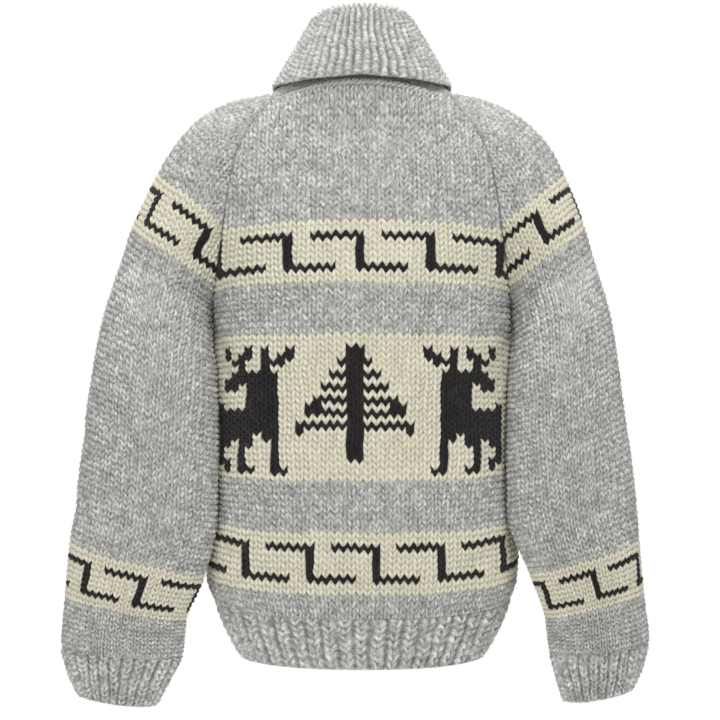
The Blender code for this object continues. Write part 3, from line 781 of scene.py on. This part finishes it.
def knitted(name, seed, knit, place, yarn, cells, rows, first, last, facing, free="", wall=WALL, lift=0):
    """A knitted piece: fine stitches outside, a plain face inside.

    cells and rows are the lowest and highest stitch and row. On a row the piece runs from the stitch
    first(row) to last(row). free names its loose edges among first, last, low and high. lift is how far
    its outer face stands from place.
    """
    low, high = rows
    first_line = math.floor(low) - 1
    line_count = math.ceil(high) - first_line
    half = knit.steps // 2
    cloth = Cloth(name, round(cells[1] - cells[0]) * knit.steps, line_count * knit.row_steps, half,
                  min(knit.row_steps, 3))
    cell, line_number = cloth.i // knit.steps, cloth.j // knit.row_steps
    step = cloth.i % knit.steps
    column = cells[0] + cell + knit.places[step]
    line = first_line + cloth.j / knit.row_steps
    outer = ~cloth.inner
    loose = LOOSE[0] * wander(seed, column, line, 3, 5) + LOOSE[1] * wander(seed + 1, column, line, 1, 2)
    sway = SWAY[0] * wander(seed + 2, column, line, 2, 4) + SWAY[1] * wander(seed + 3, column, line, 1, 1.4)
    bottom, top = low + SEAM_SHARE, high - SEAM_SHARE
    level = np.clip(line + ROW_MIDDLE, bottom, top)
    row = np.where(outer, np.clip(line + knit.climbs[step] + loose, bottom, top), level)
    from_end = np.minimum(row - bottom, top - row)
    wanted = column + sway * np.clip(from_end, 0, 1) * outer
    past_last = (column >= last(level) - SEAM_SHARE) | (wanted >= last(row) - EDGE_CATCH)
    past_first = (column <= first(level) + SEAM_SHARE) | (wanted <= first(row) + EDGE_CATCH)
    past = past_last | past_first
    row = np.where(past, level, row)
    ends = first(row) + SEAM_SHARE, last(row) - SEAM_SHARE
    at = np.where(past_last, ends[1], np.where(past_first, ends[0], wanted))
    base = place(at, row)
    normal = outward(place, at, row, facing)
    from_first, from_last = (at - ends[0]) * knit.pitch, (ends[1] - at) * knit.pitch
    from_edge = np.minimum(from_first, from_last)
    from_seam = np.minimum(
        np.where("first" in free, 1, from_first), np.where("last" in free, 1, from_last)
    )
    fade = np.clip(from_edge / EDGE_FADE, 0, 1) * np.clip(from_end / END_FADE, 0, 1)
    rng = np.random.default_rng(seed + 4)
    plump = rng.uniform(*PLUMPNESS, (cloth.i.max() // half + 1, line_count + 1))
    bump = (step + knit.offset * (line_number % 2)) % knit.steps
    stitch = knit.relief[bump, cloth.j % knit.row_steps] * plump[cloth.i // half, line_number]
    height = (stitch * knit.height + UNEVEN * wander(seed + 5, column, line, 6, 8)) * fade
    height -= SEAM_DIP * np.exp(-((from_seam / SEAM_DIP_REACH) ** 2))
    height += SEAM_RIDGE * np.exp(-(((from_seam - SEAM_RIDGE_AT) / SEAM_RIDGE_REACH) ** 2))
    thick = wall * np.clip(EDGE_WALL + from_edge / SETTLING, 0, FULL_WALL)
    for edge, away in (("low", row - bottom), ("high", top - row),
                       ("first", from_first), ("last", from_last)):
        if edge in free:
            curled = rounded(away, CURL_REACH[edge])
            height -= CURL * curled
            thick = thick * (1 - CURL_THINNING * curled)
        elif edge in ("low", "high"):
            height -= SEAM_DIP * np.exp(-((away / END_FADE) ** 2))
    crease = crease_heights(base) * np.clip(from_seam / SETTLING, EDGE_CREASE, 1) + lift
    places = base + normal * np.where(cloth.inner, crease - thick, crease + height)[:, None]
    face_cell = np.floor(cloth.over_faces(cloth.i) / knit.steps).astype(int)
    face_leg = np.floor(cloth.over_faces(cloth.i) / half).astype(int)
    face_line = np.floor(cloth.over_faces(cloth.j) / knit.row_steps).astype(int)
    cloth.keep("yarn", yarn(face_cell + math.ceil(cells[0]), face_line + first_line))
    tones = rng.normal(0, TONE_SPREAD, (face_leg.max() + 1, face_line.max() + 1))
    cloth.keep("tone", tones[face_leg, face_line])
    cloth.keep("inside", cloth.over_faces(cloth.inner))
    # depth is the stitch relief, which the material turns into painted shade between the stitches.
    cloth.keep("depth", np.where(cloth.inner, INNER_PAINTED_SHADE_DEPTH, stitch * fade), "POINT")
    cloth.keep("knit", np.stack([column, line, np.full(len(column), seed * GRAIN_SHIFT)], 1), "POINT")
    return cloth.finish(places)


# ---------------------------------------------------------------- the collar's form

NECK_SHARES = np.arange(10) / 10  # of half the back's neck
NECK_TURNS = np.array([1, 2 / 3, 1 / 3, 0, -1 / 3, -2 / 3])  # of the sleeve's top
VEE_ROWS = np.array([83.0, 79, 75, 71])
ROWS_BELOW = 4  # the way into the collar is taken from a place this far below its seam


def neck_edge():
    """The left half of the neck's edge, from nape to zip: places, directions and ways into the collar."""
    top = float(NECK_ROW)
    back_top, sleeve_top = np.full(len(NECK_SHARES), top), np.full(len(NECK_TURNS), top)
    half_back = back_span.count(top)
    half_sleeve = np.where(NECK_TURNS > 0, sleeve_spans[1, 1].count(top), sleeve_spans[1, -1].count(top))
    columns = NECK_TURNS * half_sleeve
    starts = front_first(VEE_ROWS)
    front, sleeve = front_at(1), sleeve_at(1)
    places = [body_place(1, "back", back_top, NECK_SHARES), sleeve_place(1, sleeve_top, NECK_TURNS),
              front(starts, VEE_ROWS)]
    below = [body_place(1, "back", back_top - ROWS_BELOW, NECK_SHARES),
             sleeve_place(1, sleeve_top - ROWS_BELOW, NECK_TURNS), front(starts + 1, VEE_ROWS)]
    ways = [place - lower for place, lower in zip(places, below)]
    directions = [outward(back_at, BACK_LEAN - NECK_SHARES * half_back, back_top, 1),
                  outward(sleeve, columns, sleeve_top, 1), outward(front, starts, VEE_ROWS, 1)]
    # At the two raglan seams the direction is between those of the pieces that meet.
    directions[1][0] += outward(back_at, np.array([BACK_LEAN - half_back]), sleeve_top[:1], 1)[0]
    directions[2][0] += outward(sleeve, -columns[:1], sleeve_top[:1], 1)[0]
    places, directions, ways = (np.concatenate(parts) for parts in (places, directions, ways))
    return places, unit(directions), ways


def across_from(vectors, along):
    """The vectors, less their part along a direction."""
    return vectors - (vectors * along).sum(-1, keepdims=True) * along


def bent(start, control, end, share):
    return start * (1 - share) ** 2 + control * 2 * share * (1 - share) + end * share * share


def collar_profiles():
    """The middle of the collar's wall, from its seam over the fold to its free edge, at each place."""
    places, directions, ways = neck_edge()
    lengths = travelled(places)
    shares = lengths / lengths[-1]
    fold, edge = (np.stack([COLLAR[end + axis](shares) for axis in "xyz"], 1) for end in ("fold_", "edge_"))
    seam = places - directions * WALL / 2
    up = unit(fold - (seam + edge) / 2)
    over = unit(across_from(edge - seam, up))
    way = unit(across_from(ways, directions))
    start = seam + way * COLLAR_GAP
    centre = fold - up * FOLD_RADIUS
    top = centre - over * FOLD_RADIUS
    reach = np.linalg.norm(top - start, axis=1, keepdims=True)
    control = start + unit(way + up) * reach * STAND_FULLNESS
    line = [bent(start, control, top, step / STAND_STEPS) for step in range(STAND_STEPS)]
    for step in range(FOLD_STEPS):
        angle = math.pi * step / FOLD_STEPS
        line.append(centre + FOLD_RADIUS * (up * math.sin(angle) - over * math.cos(angle)))
    outer = centre + over * FOLD_RADIUS
    bulge = COLLAR["bulge"](shares)[:, None]
    control = (outer + edge) / 2 + over * 2 * bulge
    line += [bent(outer, control, edge, step / LEAF_STEPS) for step in range(LEAF_STEPS + 1)]
    half = np.stack(line, 1)
    other_half = half[:0:-1] * np.array([-1, 1, 1])
    return np.concatenate([-shares[:0:-1], shares]), np.concatenate([other_half, half])


class CollarForm:
    """The collar's middle surface by bumps from its free edge and columns round the neck."""

    STATIONS = 241
    BUMPS = COLLAR_RIB.pitch
    COLUMN = 0.0104
    FINE = 0.001

    def __init__(self):
        stations, profiles = collar_profiles()
        along = np.linspace(-1, 1, self.STATIONS)
        smooth = np.stack([
            np.stack([Line(stations, profiles[:, i, axis])(along) for axis in range(3)], 1)
            for i in range(profiles.shape[1])
        ], 1)[:, ::-1]
        lengths = travelled(smooth)
        self.lengths = lengths[:, -1]
        self.distances = np.arange(0, self.lengths.max() + self.FINE, self.FINE)
        self.table = np.stack([reached(self.distances, *profile) for profile in zip(lengths, smooth)])
        self.around = travelled(smooth[:, 0])
        self.around -= self.around[-1] / 2
        self.half_columns = round(self.around[-1] / self.COLUMN)
        self.around *= self.half_columns / self.around[-1]

    def last(self, column):
        """How many bumps lie between the free edge and the neck's seam."""
        return np.interp(column, self.around, self.lengths) / self.BUMPS

    def place(self, bump, column):
        at = np.clip(np.interp(column, self.around, np.arange(self.STATIONS)), 0, self.STATIONS - 1.001)
        far = np.clip(bump * self.BUMPS / self.FINE, 0, len(self.distances) - 1.001)
        i, j = at.astype(int), far.astype(int)
        s, t = (at - i)[..., None], (far - j)[..., None]
        return blended(self.table, i, j, s, t)


# ---------------------------------------------------------------- the pieces


def held(value):
    return lambda row: np.full(np.shape(row), float(value))


def front_first(row):
    """Where a front starts, in stitches from the middle."""
    return np.interp(row, FRONT_ROWS, FRONT_STARTS)


def scaled(place, scale):
    return lambda column, row: place(column * scale, row)


FRONT_ROWS = np.linspace(HEM_ROW, NECK_ROW, 93)
FRONT_STARTS = front_span.stitches_at(FRONT_ROWS, front_start(FRONT_ROWS))
HEM_PAIRS = 10.5  # in half the back's hem
FRONT_HEM_PAIRS = 11
CUFF_PAIRS = 11


def dressed(piece, material, node=None):
    """Gives a piece its material, hides the CAD part it stands for, and fixes it to the cardigan."""
    piece.data.materials.append(material)
    if node:
        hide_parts(node)
    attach(piece, "cardigan")
    return piece


def on_cardigan(piece, node, material):
    """Dresses a knitted piece."""
    dressed(piece, material, node)


# ---------------------------------------------------------------- materials


class Wire:
    """A socket of a material's node. Sums and products of wires add Math nodes."""

    def __init__(self, paint, socket):
        self.paint = paint
        self.socket = socket

    def maths(self, operation, *terms, clamp=False):
        inputs = dict(enumerate(terms))
        return self.paint.add("ShaderNodeMath", {"operation": operation, "use_clamp": clamp}, inputs)

    def __add__(self, other):
        return self.maths("ADD", self, other)

    def __sub__(self, other):
        return self.maths("SUBTRACT", self, other)

    def __rsub__(self, other):
        return self.maths("SUBTRACT", other, self)

    def __mul__(self, other):
        return self.maths("MULTIPLY", self, other)

    def clamped(self):
        return self.maths("ADD", self, 0.0, clamp=True)

    def size(self):
        return self.maths("ABSOLUTE", self)

    __radd__ = __add__
    __rmul__ = __mul__


class Paint:
    """A material on the Principled shader, built node by node."""

    def __init__(self, name, **uniform):
        self.material = bpy.data.materials.new(name)
        self.material.use_nodes = True
        self.tree = self.material.node_tree
        self.shader = self.tree.nodes["Principled BSDF"]
        for socket, value in uniform.items():
            self.shader.inputs[socket.replace("_", " ")].default_value = value

    def add(self, kind, settings=None, inputs=None, output=0):
        """A node of a type, with its settings, then the values or wires of its sockets."""
        node = self.tree.nodes.new(kind)
        for name, value in (settings or {}).items():
            if name == "stops":
                self.set_stops(node.color_ramp, value)
            else:
                setattr(node, name, value)
        for name, value in (inputs or {}).items():
            self.feed(node.inputs[name], value)
        return Wire(self, node.outputs[output])

    def set_stops(self, ramp, stops):
        while len(ramp.elements) < len(stops):
            ramp.elements.new(0.5)
        for element, (place, colour) in zip(ramp.elements, stops):
            element.position = place
            element.color = colour

    def feed(self, socket, value):
        if isinstance(value, Wire):
            self.tree.links.new(value.socket, socket)
        else:
            socket.default_value = value

    def set(self, name, value):
        self.feed(self.shader.inputs[name], value)

    def attribute(self, name, output="Fac"):
        return self.add("ShaderNodeAttribute", {"attribute_name": name}, output=output)

    def noise(self, vector, scale, detail=3.0, roughness=0.5):
        inputs = {"Vector": vector, "Scale": scale, "Detail": detail, "Roughness": roughness}
        return self.add("ShaderNodeTexNoise", {}, inputs, "Fac")

    def scaled(self, vector, scale):
        inputs = {"Vector": vector, "Scale": scale}
        return self.add("ShaderNodeMapping", {}, inputs)

    def mix(self, factor, first, second, blend="MIX"):
        settings = {"data_type": "RGBA", "blend_type": blend}
        # Sockets 6 and 7 are the colours, and output 2 the mixed colour.
        return self.add("ShaderNodeMix", settings, {0: factor, 6: first, 7: second}, 2)

    def ramp(self, factor, stops):
        return self.add("ShaderNodeValToRGB", {"stops": stops}, {"Fac": factor})

    def bump(self, height, distance, strength=1.0):
        inputs = {"Height": height, "Distance": distance, "Strength": strength}
        self.set("Normal", self.add("ShaderNodeBump", {}, inputs))

    def places(self):
        return self.add("ShaderNodeTexCoord", {}, output="Object")


def grey(value):
    return (value, value, value, 1)


# Where along the yarn's marl each shade lies, and how light it is beside the yarn's own colour.
MARL = ((0.20, 0.55), (0.42, 0.84), (0.56, 1.08), (0.74, 1.52))
WARMTH = 0.045
PAINTED_HOLLOW_SHADE = ((0.0, 0.52), (0.30, 0.74), (0.62, 0.95), (1.0, 1.0))  # painted shade between the stitches: darker where the stitch relief is low


def wool_material(name, light):
    """Hand-spun wool: marled grey, ivory and charcoal yarn, by the chart, with fibres along each leg, and
    painted shade darkening the hollows between stitches.
    """
    paint = Paint(name, Roughness=0.95, Sheen_Weight=0.14, Sheen_Roughness=0.55, Specular_IOR_Level=0.2)
    knit = paint.attribute("knit", "Vector")
    yarn, tone = paint.attribute("yarn"), paint.attribute("tone")
    fibres = paint.noise(paint.scaled(knit, (11.0, 3.4, 1.0)), 1.0, 3.0, 0.6)
    streaks = paint.noise(paint.scaled(knit, (3.6, 1.5, 1.0)), 1.0, 3.0, 0.6)
    mottle = paint.noise(paint.places(), 70.0, 2.0, 0.5)
    depth = paint.attribute("depth")
    marl = streaks * 1.5 + fibres * 0.9 + mottle * 0.5 - 0.95 + tone * 0.10
    tint = (light, light, light * (1 - WARMTH))
    marled = paint.ramp(marl, [(at, tuple(c * shade for c in tint) + (1,)) for at, shade in MARL])
    fleece = fibres * 0.7 + mottle * 0.3 + tone * 0.08
    ivory = paint.ramp(fleece, [(0.28, (0.62, 0.57, 0.43, 1)), (0.5, (0.76, 0.725, 0.575, 1)),
                                (0.72, (0.84, 0.81, 0.68, 1))])
    charcoal = paint.ramp(fleece, [(0.30, (0.008, 0.0065, 0.007, 1)), (0.54, (0.016, 0.013, 0.0135, 1)),
                                   (0.76, (0.060, 0.053, 0.053, 1))])
    is_ivory = (1 - (yarn - 1).size()).clamped()
    is_charcoal = (yarn - 1).clamped()
    colour = paint.mix(is_charcoal, paint.mix(is_ivory, marled, ivory), charcoal)
    # Painted shade: the colour is multiplied darker where the stitch relief is low, in the hollows between
    # stitches.
    painted_hollow_shade = paint.ramp((depth * 0.85 + 0.55).clamped(), [(at, grey(shade)) for at, shade in PAINTED_HOLLOW_SHADE])
    paint.set("Base Color", paint.mix(1.0, colour, painted_hollow_shade, "MULTIPLY"))
    hairs = paint.noise(paint.scaled(knit, (24.0, 6.0, 1.0)), 1.0, 3.0, 0.65)
    paint.bump(hairs * 0.7 + fibres * 0.6, 0.0011, 0.8)
    return paint.material


WOOL = wool_material("marled_wool", 0.50)
RIB_WOOL = wool_material("rib_wool", 0.50)
COLLAR_WOOL = wool_material("collar_wool", 0.52)


def tape_material():
    """Tightly woven charcoal twill."""
    paint = Paint("zip_tape_twill", Roughness=0.85, Sheen_Weight=0.15)
    places = paint.places()
    twill = paint.add(
        "ShaderNodeTexWave",
        {"wave_type": "BANDS", "bands_direction": "DIAGONAL"},
        {"Vector": places, "Scale": 420.0, "Distortion": 1.2},
        "Fac",
    )
    dust = paint.noise(places, 300.0, 2.0)
    paint.set("Base Color", paint.ramp(twill * 0.7 + dust * 0.3, [(0.2, (0.016, 0.015, 0.015, 1)),
                                                                 (0.8, (0.045, 0.042, 0.041, 1))]))
    paint.bump(twill, 0.0003, 0.7)
    return paint.material


def nickel_material():
    """Zip metal, a little worn, with fine scratches."""
    paint = Paint("zip_nickel", Metallic=1.0)
    places = paint.places()
    scratches = paint.noise(paint.scaled(places, (900.0, 900.0, 120.0)), 1.0, 2.0)
    wear = paint.noise(places, 260.0, 3.0)
    paint.set("Base Color", paint.ramp(wear, [(0.3, (0.28, 0.275, 0.26, 1)), (0.7, (0.42, 0.415, 0.40, 1))]))
    paint.set("Roughness", scratches * 0.20 + wear * 0.14 + 0.22)
    paint.bump(scratches, 0.00006, 0.5)
    return paint.material


TWILL = tape_material()
NICKEL = nickel_material()

# ---------------------------------------------------------------- the knitted pieces

back = knitted(
    "knit_back", 10, STOCKING, back_at, back_yarn, (-22.5, 23.5), (RIB_ROW, NECK_ROW),
    lambda row: BACK_LEAN - back_span.count(row), lambda row: BACK_LEAN + back_span.count(row), 1,
)
on_cardigan(back, "back", WOOL)


def ribbed(place, span, pairs, lean=0):
    """A piece's places by the pairs of a rib, which are as many on every row."""
    return lambda column, row: place(column * span.count(row) / pairs + lean, row)


hem_back = knitted(
    "rib_hem_back", 20, HEM_RIB, ribbed(back_at, back_span, HEM_PAIRS, BACK_LEAN), plain_yarn,
    (-HEM_PAIRS, HEM_PAIRS), (HEM_ROW, RIB_ROW), held(-HEM_PAIRS), held(HEM_PAIRS), 1, free="low",
)
on_cardigan(hem_back, "hem_rib_back", RIB_WOOL)
for side, name, seed in ((1, "left", 30), (-1, "right", 40)):
    front = knitted(
        "knit_front_" + name, seed, STOCKING, front_at(side), front_yarn(side), (0, 24),
        (RIB_ROW, NECK_ROW), front_first, front_span.count, side, free="first",
    )
    on_cardigan(front, "front_" + name, WOOL)
    hem = knitted(
        "rib_hem_" + name, seed + 3, HEM_RIB, ribbed(front_at(side), front_span, FRONT_HEM_PAIRS),
        plain_yarn, (0, FRONT_HEM_PAIRS), (HEM_ROW, RIB_ROW),
        lambda row: front_first(row) * FRONT_HEM_PAIRS / front_span.count(row),
        held(FRONT_HEM_PAIRS), side, free="low first",
    )
    on_cardigan(hem, "hem_rib_" + name, RIB_WOOL)
    sleeve = knitted(
        "knit_sleeve_" + name, seed + 20, STOCKING, sleeve_at(side), sleeve_yarn(side),
        (-SLEEVE_STITCHES, SLEEVE_STITCHES), (CUFF_TOP_ROW, NECK_ROW),
        lambda row, s=side: -sleeve_spans[s, -1].count(row), sleeve_spans[side, 1].count, side,
    )
    on_cardigan(sleeve, "sleeve_" + name, WOOL)
    cuff = knitted(
        "rib_cuff_" + name, seed + 24, CUFF_RIB, scaled(sleeve_at(side), SLEEVE_STITCHES / CUFF_PAIRS),
        plain_yarn, (-CUFF_PAIRS, CUFF_PAIRS), (CUFF_END_ROW, CUFF_TOP_ROW), held(-CUFF_PAIRS),
        held(CUFF_PAIRS), side, free="low",
    )
    on_cardigan(cuff, "cuff_" + name, RIB_WOOL)

form = CollarForm()
collar = knitted(
    "rib_collar", 80, COLLAR_RIB, form.place, plain_yarn, (0, math.ceil(form.lengths.max() / form.BUMPS)),
    (-form.half_columns, form.half_columns), held(0), form.last, 1, free="first low high",
    wall=COLLAR_WALL, lift=COLLAR_WALL / 2,
)
on_cardigan(collar, "collar", COLLAR_WOOL)

# ---------------------------------------------------------------- the cord round the neck


BACK_POINTS, FRONT_POINTS, SLEEVE_POINTS = 60, 24, 40
SMOOTHINGS = 3


def neck_line():
    """The neck's edge from the left front round the nape to the right front."""
    top = np.full(BACK_POINTS, float(NECK_ROW))
    half = back_span.count(NECK_ROW)
    back_edge = back_at(np.linspace(BACK_LEAN - half, BACK_LEAN + half, BACK_POINTS), top)
    rows = np.linspace(VEE_ROW, NECK_ROW, FRONT_POINTS)
    sides = []
    for side in (1, -1):
        ends = [sleeve_spans[side, face].count(NECK_ROW) * face for face in (-1, 1)]
        sides.append(np.concatenate([
            front_at(side)(front_first(rows), rows),
            sleeve_at(side)(np.linspace(*ends, SLEEVE_POINTS), top[:SLEEVE_POINTS])[1:-1],
        ]))
    line = np.concatenate([sides[0], back_edge, sides[1][::-1]])
    for _ in range(SMOOTHINGS):
        line[1:-1] = line[:-2] * 0.25 + line[1:-1] * 0.5 + line[2:] * 0.25
    return line


def along_line(line, spacing):
    """Places a spacing apart along a line, and the line's direction at each."""
    lengths = travelled(line)
    marks = np.arange(0, lengths[-1], spacing)
    places = reached(marks, lengths, line)
    return marks, places, unit(np.gradient(places, axis=0))


CORD_TWIST = 0.0125  # the length of one turn
TURN_POINTS = 10
CORD_STRAND = 0.0017  # radius of each of its two strands
CORD_BELOW = (0, -0.0004, -0.0046)  # of its line under the nape's edge
CORD_BEHIND = 0.06  # how far back of the middle it is all that way under
CORD_OUT = 0.0012
CORD_TILT = (1, 1, 0.2)  # flattens its way out
CORD_LAY = 0.8  # of a strand's radius, from the cord's middle to a strand's
CORD_UNEVEN = 0.22
CORD_SHADES = [(0.3, (0.29, 0.29, 0.27, 1)), (0.7, (0.60, 0.60, 0.56, 1))]


def neck_cord():
    """Two strands twisted round each other on the neck's seam."""
    marks, places, ways = along_line(neck_line(), CORD_TWIST / TURN_POINTS)
    out = unit(across_from(places, ways) * np.array(CORD_TILT))
    up = np.cross(out, ways)
    behind = np.clip(places[:, 1] / CORD_BEHIND, 0, 1)[:, None]
    places = places + behind * np.array(CORD_BELOW)
    curve = bpy.data.curves.new("neck_cord", "CURVE")
    curve.dimensions = "3D"
    curve.bevel_depth = CORD_STRAND
    curve.bevel_resolution = 2
    curve.use_fill_caps = True
    rng = np.random.default_rng(7)
    for strand in (0, math.pi):
        angle = (marks / CORD_TWIST * 2 * math.pi + strand)[:, None]
        wave = 1 + CORD_UNEVEN * rng.normal(size=(len(marks), 1))
        lift = (out * np.cos(angle) + up * np.sin(angle)) * CORD_STRAND * CORD_LAY * wave
        line = places + out * CORD_OUT + lift
        spline = curve.splines.new("POLY")
        spline.points.add(len(line) - 1)
        spline.points.foreach_set("co", np.c_[line, np.ones(len(line))].ravel())
    dressed(linked("neck_cord", curve), CORD_WOOL)


def cord_wool():
    """Wool like the rib's, without its stitches."""
    paint = Paint("cord_wool", Roughness=1.0, Sheen_Weight=0.12, Specular_IOR_Level=0.15)
    places = paint.places()
    fleece = paint.noise(places, 420.0, 3.0, 0.65)
    mottle = paint.noise(places, 90.0, 2.0)
    paint.set("Base Color", paint.ramp(fleece * 0.5 + mottle * 0.5, CORD_SHADES))
    paint.bump(fleece, 0.0006, 0.8)
    return paint.material


CORD_WOOL = cord_wool()
neck_cord()

# ---------------------------------------------------------------- the zip

TAPE_EDGE = 0.020
TAPE_INNER = 0.0002
TAPE_PARTED = 0.0018
TAPE_WALL = 0.0012
TAPE_GAP = 0.0008
TAPE_TOP_ROW = 71
TAPE_STEPS = (10, 240)
PARTING_ROWS = (69.2, 69.5)
TOOTH_PITCH = 0.0030
TOOTH_SIZE = (0.0050, 0.0024, 0.0017)
TOOTH_BEVEL = 0.0004
TOOTH_X = 0.0014  # from the zip's middle to a tooth's middle
TOOTH_DEPTH = 0.0003  # behind the tape's face
CHAIN_ROWS = (-7.3, 68.0)
CHAIN_POINTS = 200
LOOSE_ROWS = (70.0, 71.0)
LOOSE_TEETH = 3
LOOSE_SHIFT = 0.2  # of the right side's, in rows


def zip_middle(row):
    """The zip's middle line on the fronts' outer surface, its direction, and the way into the body."""
    row = np.asarray(row, float)
    up = unit(front_place(1, row + 0.5, 0) - front_place(1, row - 0.5, 0))
    return front_place(1, row, 0), up, np.cross(up, np.array([1.0, 0, 0]))


def zip_tape(name, side):
    """A woven tape behind a front's edge."""
    across, along = TAPE_STEPS
    cloth = Cloth(name, across, along, 1, 1)
    row = HEM_ROW + (TAPE_TOP_ROW - HEM_ROW) * cloth.j / along
    first = np.interp(row, PARTING_ROWS, (TAPE_INNER, TAPE_PARTED))
    x = first + (TAPE_EDGE - first) * cloth.i / across
    into = zip_middle(row)[2]
    depth = WALL + TAPE_GAP + TAPE_WALL * cloth.inner
    return cloth.finish(front_place(side, row, x) + into * depth[:, None])


def zip_teeth(name, side):
    """One side's row of teeth: small rounded blocks that hold the other side's between them."""
    chain = np.linspace(*CHAIN_ROWS, CHAIN_POINTS)
    line = zip_middle(chain)[0]
    marks = along_line(line, TOOTH_PITCH)[0]
    shift = TOOTH_PITCH / 2 if side < 0 else 0
    rows = list(np.interp(marks + shift, travelled(line), chain))
    loose = list(np.linspace(*LOOSE_ROWS, LOOSE_TEETH) + (LOOSE_SHIFT if side < 0 else 0))
    teeth = bmesh.new()
    for row in rows + loose:
        place, up, into = (Vector(value) for value in zip_middle(row))
        parted = TAPE_PARTED if row in loose else 0
        centre = place + into * (WALL + TAPE_GAP + TOOTH_DEPTH) + Vector((side * (TOOTH_X + parted), 0, 0))
        turn = Matrix((Vector((1, 0, 0)), into, up)).transposed().to_4x4()
        tooth = bmesh.ops.create_cube(teeth, size=1, matrix=Matrix.Translation(centre) @ turn
                                      @ Matrix.Diagonal((*TOOTH_SIZE, 1)))["verts"]
        edges = list({edge for vert in tooth for edge in vert.link_edges})
        bmesh.ops.bevel(teeth, geom=edges, offset=TOOTH_BEVEL, affect="EDGES", segments=1, profile=0.5,
                        material=-1)
    return dressed(linked(name, as_mesh(name, teeth)), NICKEL)


for side, name in ((1, "left"), (-1, "right")):
    tape = dressed(zip_tape("zip_cloth_" + name, side), TWILL, "zip_tape_" + name)
    teeth = zip_teeth("zip_teeth_" + name, side)

for node in ("zip_slider", "zip_pull", "zip_stop"):
    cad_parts[node].data.materials[0] = NICKEL

# ---------------------------------------------------------------- the floor, light and camera

FLOOR_Z = -0.98
FLOOR_RADIUS = 0.9
AMBIENT = 0.44  # the backdrop's light on the cardigan, where 1 is its brightness to the eye
floor_paint = Paint("pale_floor", Roughness=0.9, Emission_Strength=0.35)
floor_paint.set("Base Color", grey(0.85))
floor_paint.set("Emission Color", grey(1.0))
disc = bmesh.new()
bmesh.ops.create_circle(disc, cap_ends=True, segments=96, radius=FLOOR_RADIUS,
                        matrix=Matrix.Translation((0, 0, FLOOR_Z)))
floor = linked("floor", as_mesh("floor", disc))
floor.data.materials.append(floor_paint.material)

world = bpy.data.worlds.new("studio")
bpy.context.scene.world = world
world.use_nodes = True
backdrop = world.node_tree.nodes["Background"]
backdrop.inputs["Color"].default_value = grey(1.0)
sight = world.node_tree.nodes.new("ShaderNodeLightPath")
strength = world.node_tree.nodes.new("ShaderNodeMapRange")
strength.inputs["To Min"].default_value = AMBIENT
strength.inputs["To Max"].default_value = 1.0
world.node_tree.links.new(sight.outputs["Is Camera Ray"], strength.inputs["Value"])
world.node_tree.links.new(strength.outputs["Result"], backdrop.inputs["Strength"])

# Each light: where it stands, where it looks, its size and its power.
LIGHTS = [
    ("key", (-0.7, 2.2, 2.0), (0, 0, -0.3), 0.9, 50),
    ("fill", (0.9, 2.7, 0.1), (0, 0, -0.3), 1.8, 27),
    ("top", (0, 0.5, 2.2), (0, 0, -0.2), 1.4, 22),
    ("front", (0.9, -2.4, 1.6), (0, 0, -0.25), 1.0, 56),
]
for name, place, target, size, power in LIGHTS:
    light = bpy.data.lights.new(name, "AREA")
    light.size = size
    light.energy = power
    lamp = linked(name, light)
    lamp.location = place
    lamp.rotation_euler = (Vector(target) - Vector(place)).to_track_quat("-Z", "Y").to_euler()

camera_data = bpy.data.cameras.new("camera")
camera_data.lens = 84
camera_data.sensor_width = 36
camera = linked("camera", camera_data)
camera.location = (0.0023, 1.9, -0.285)
camera.rotation_euler = (math.pi / 2, 0, math.pi)
bpy.context.scene.camera = camera
bpy.context.scene.view_settings.view_transform = "Standard"
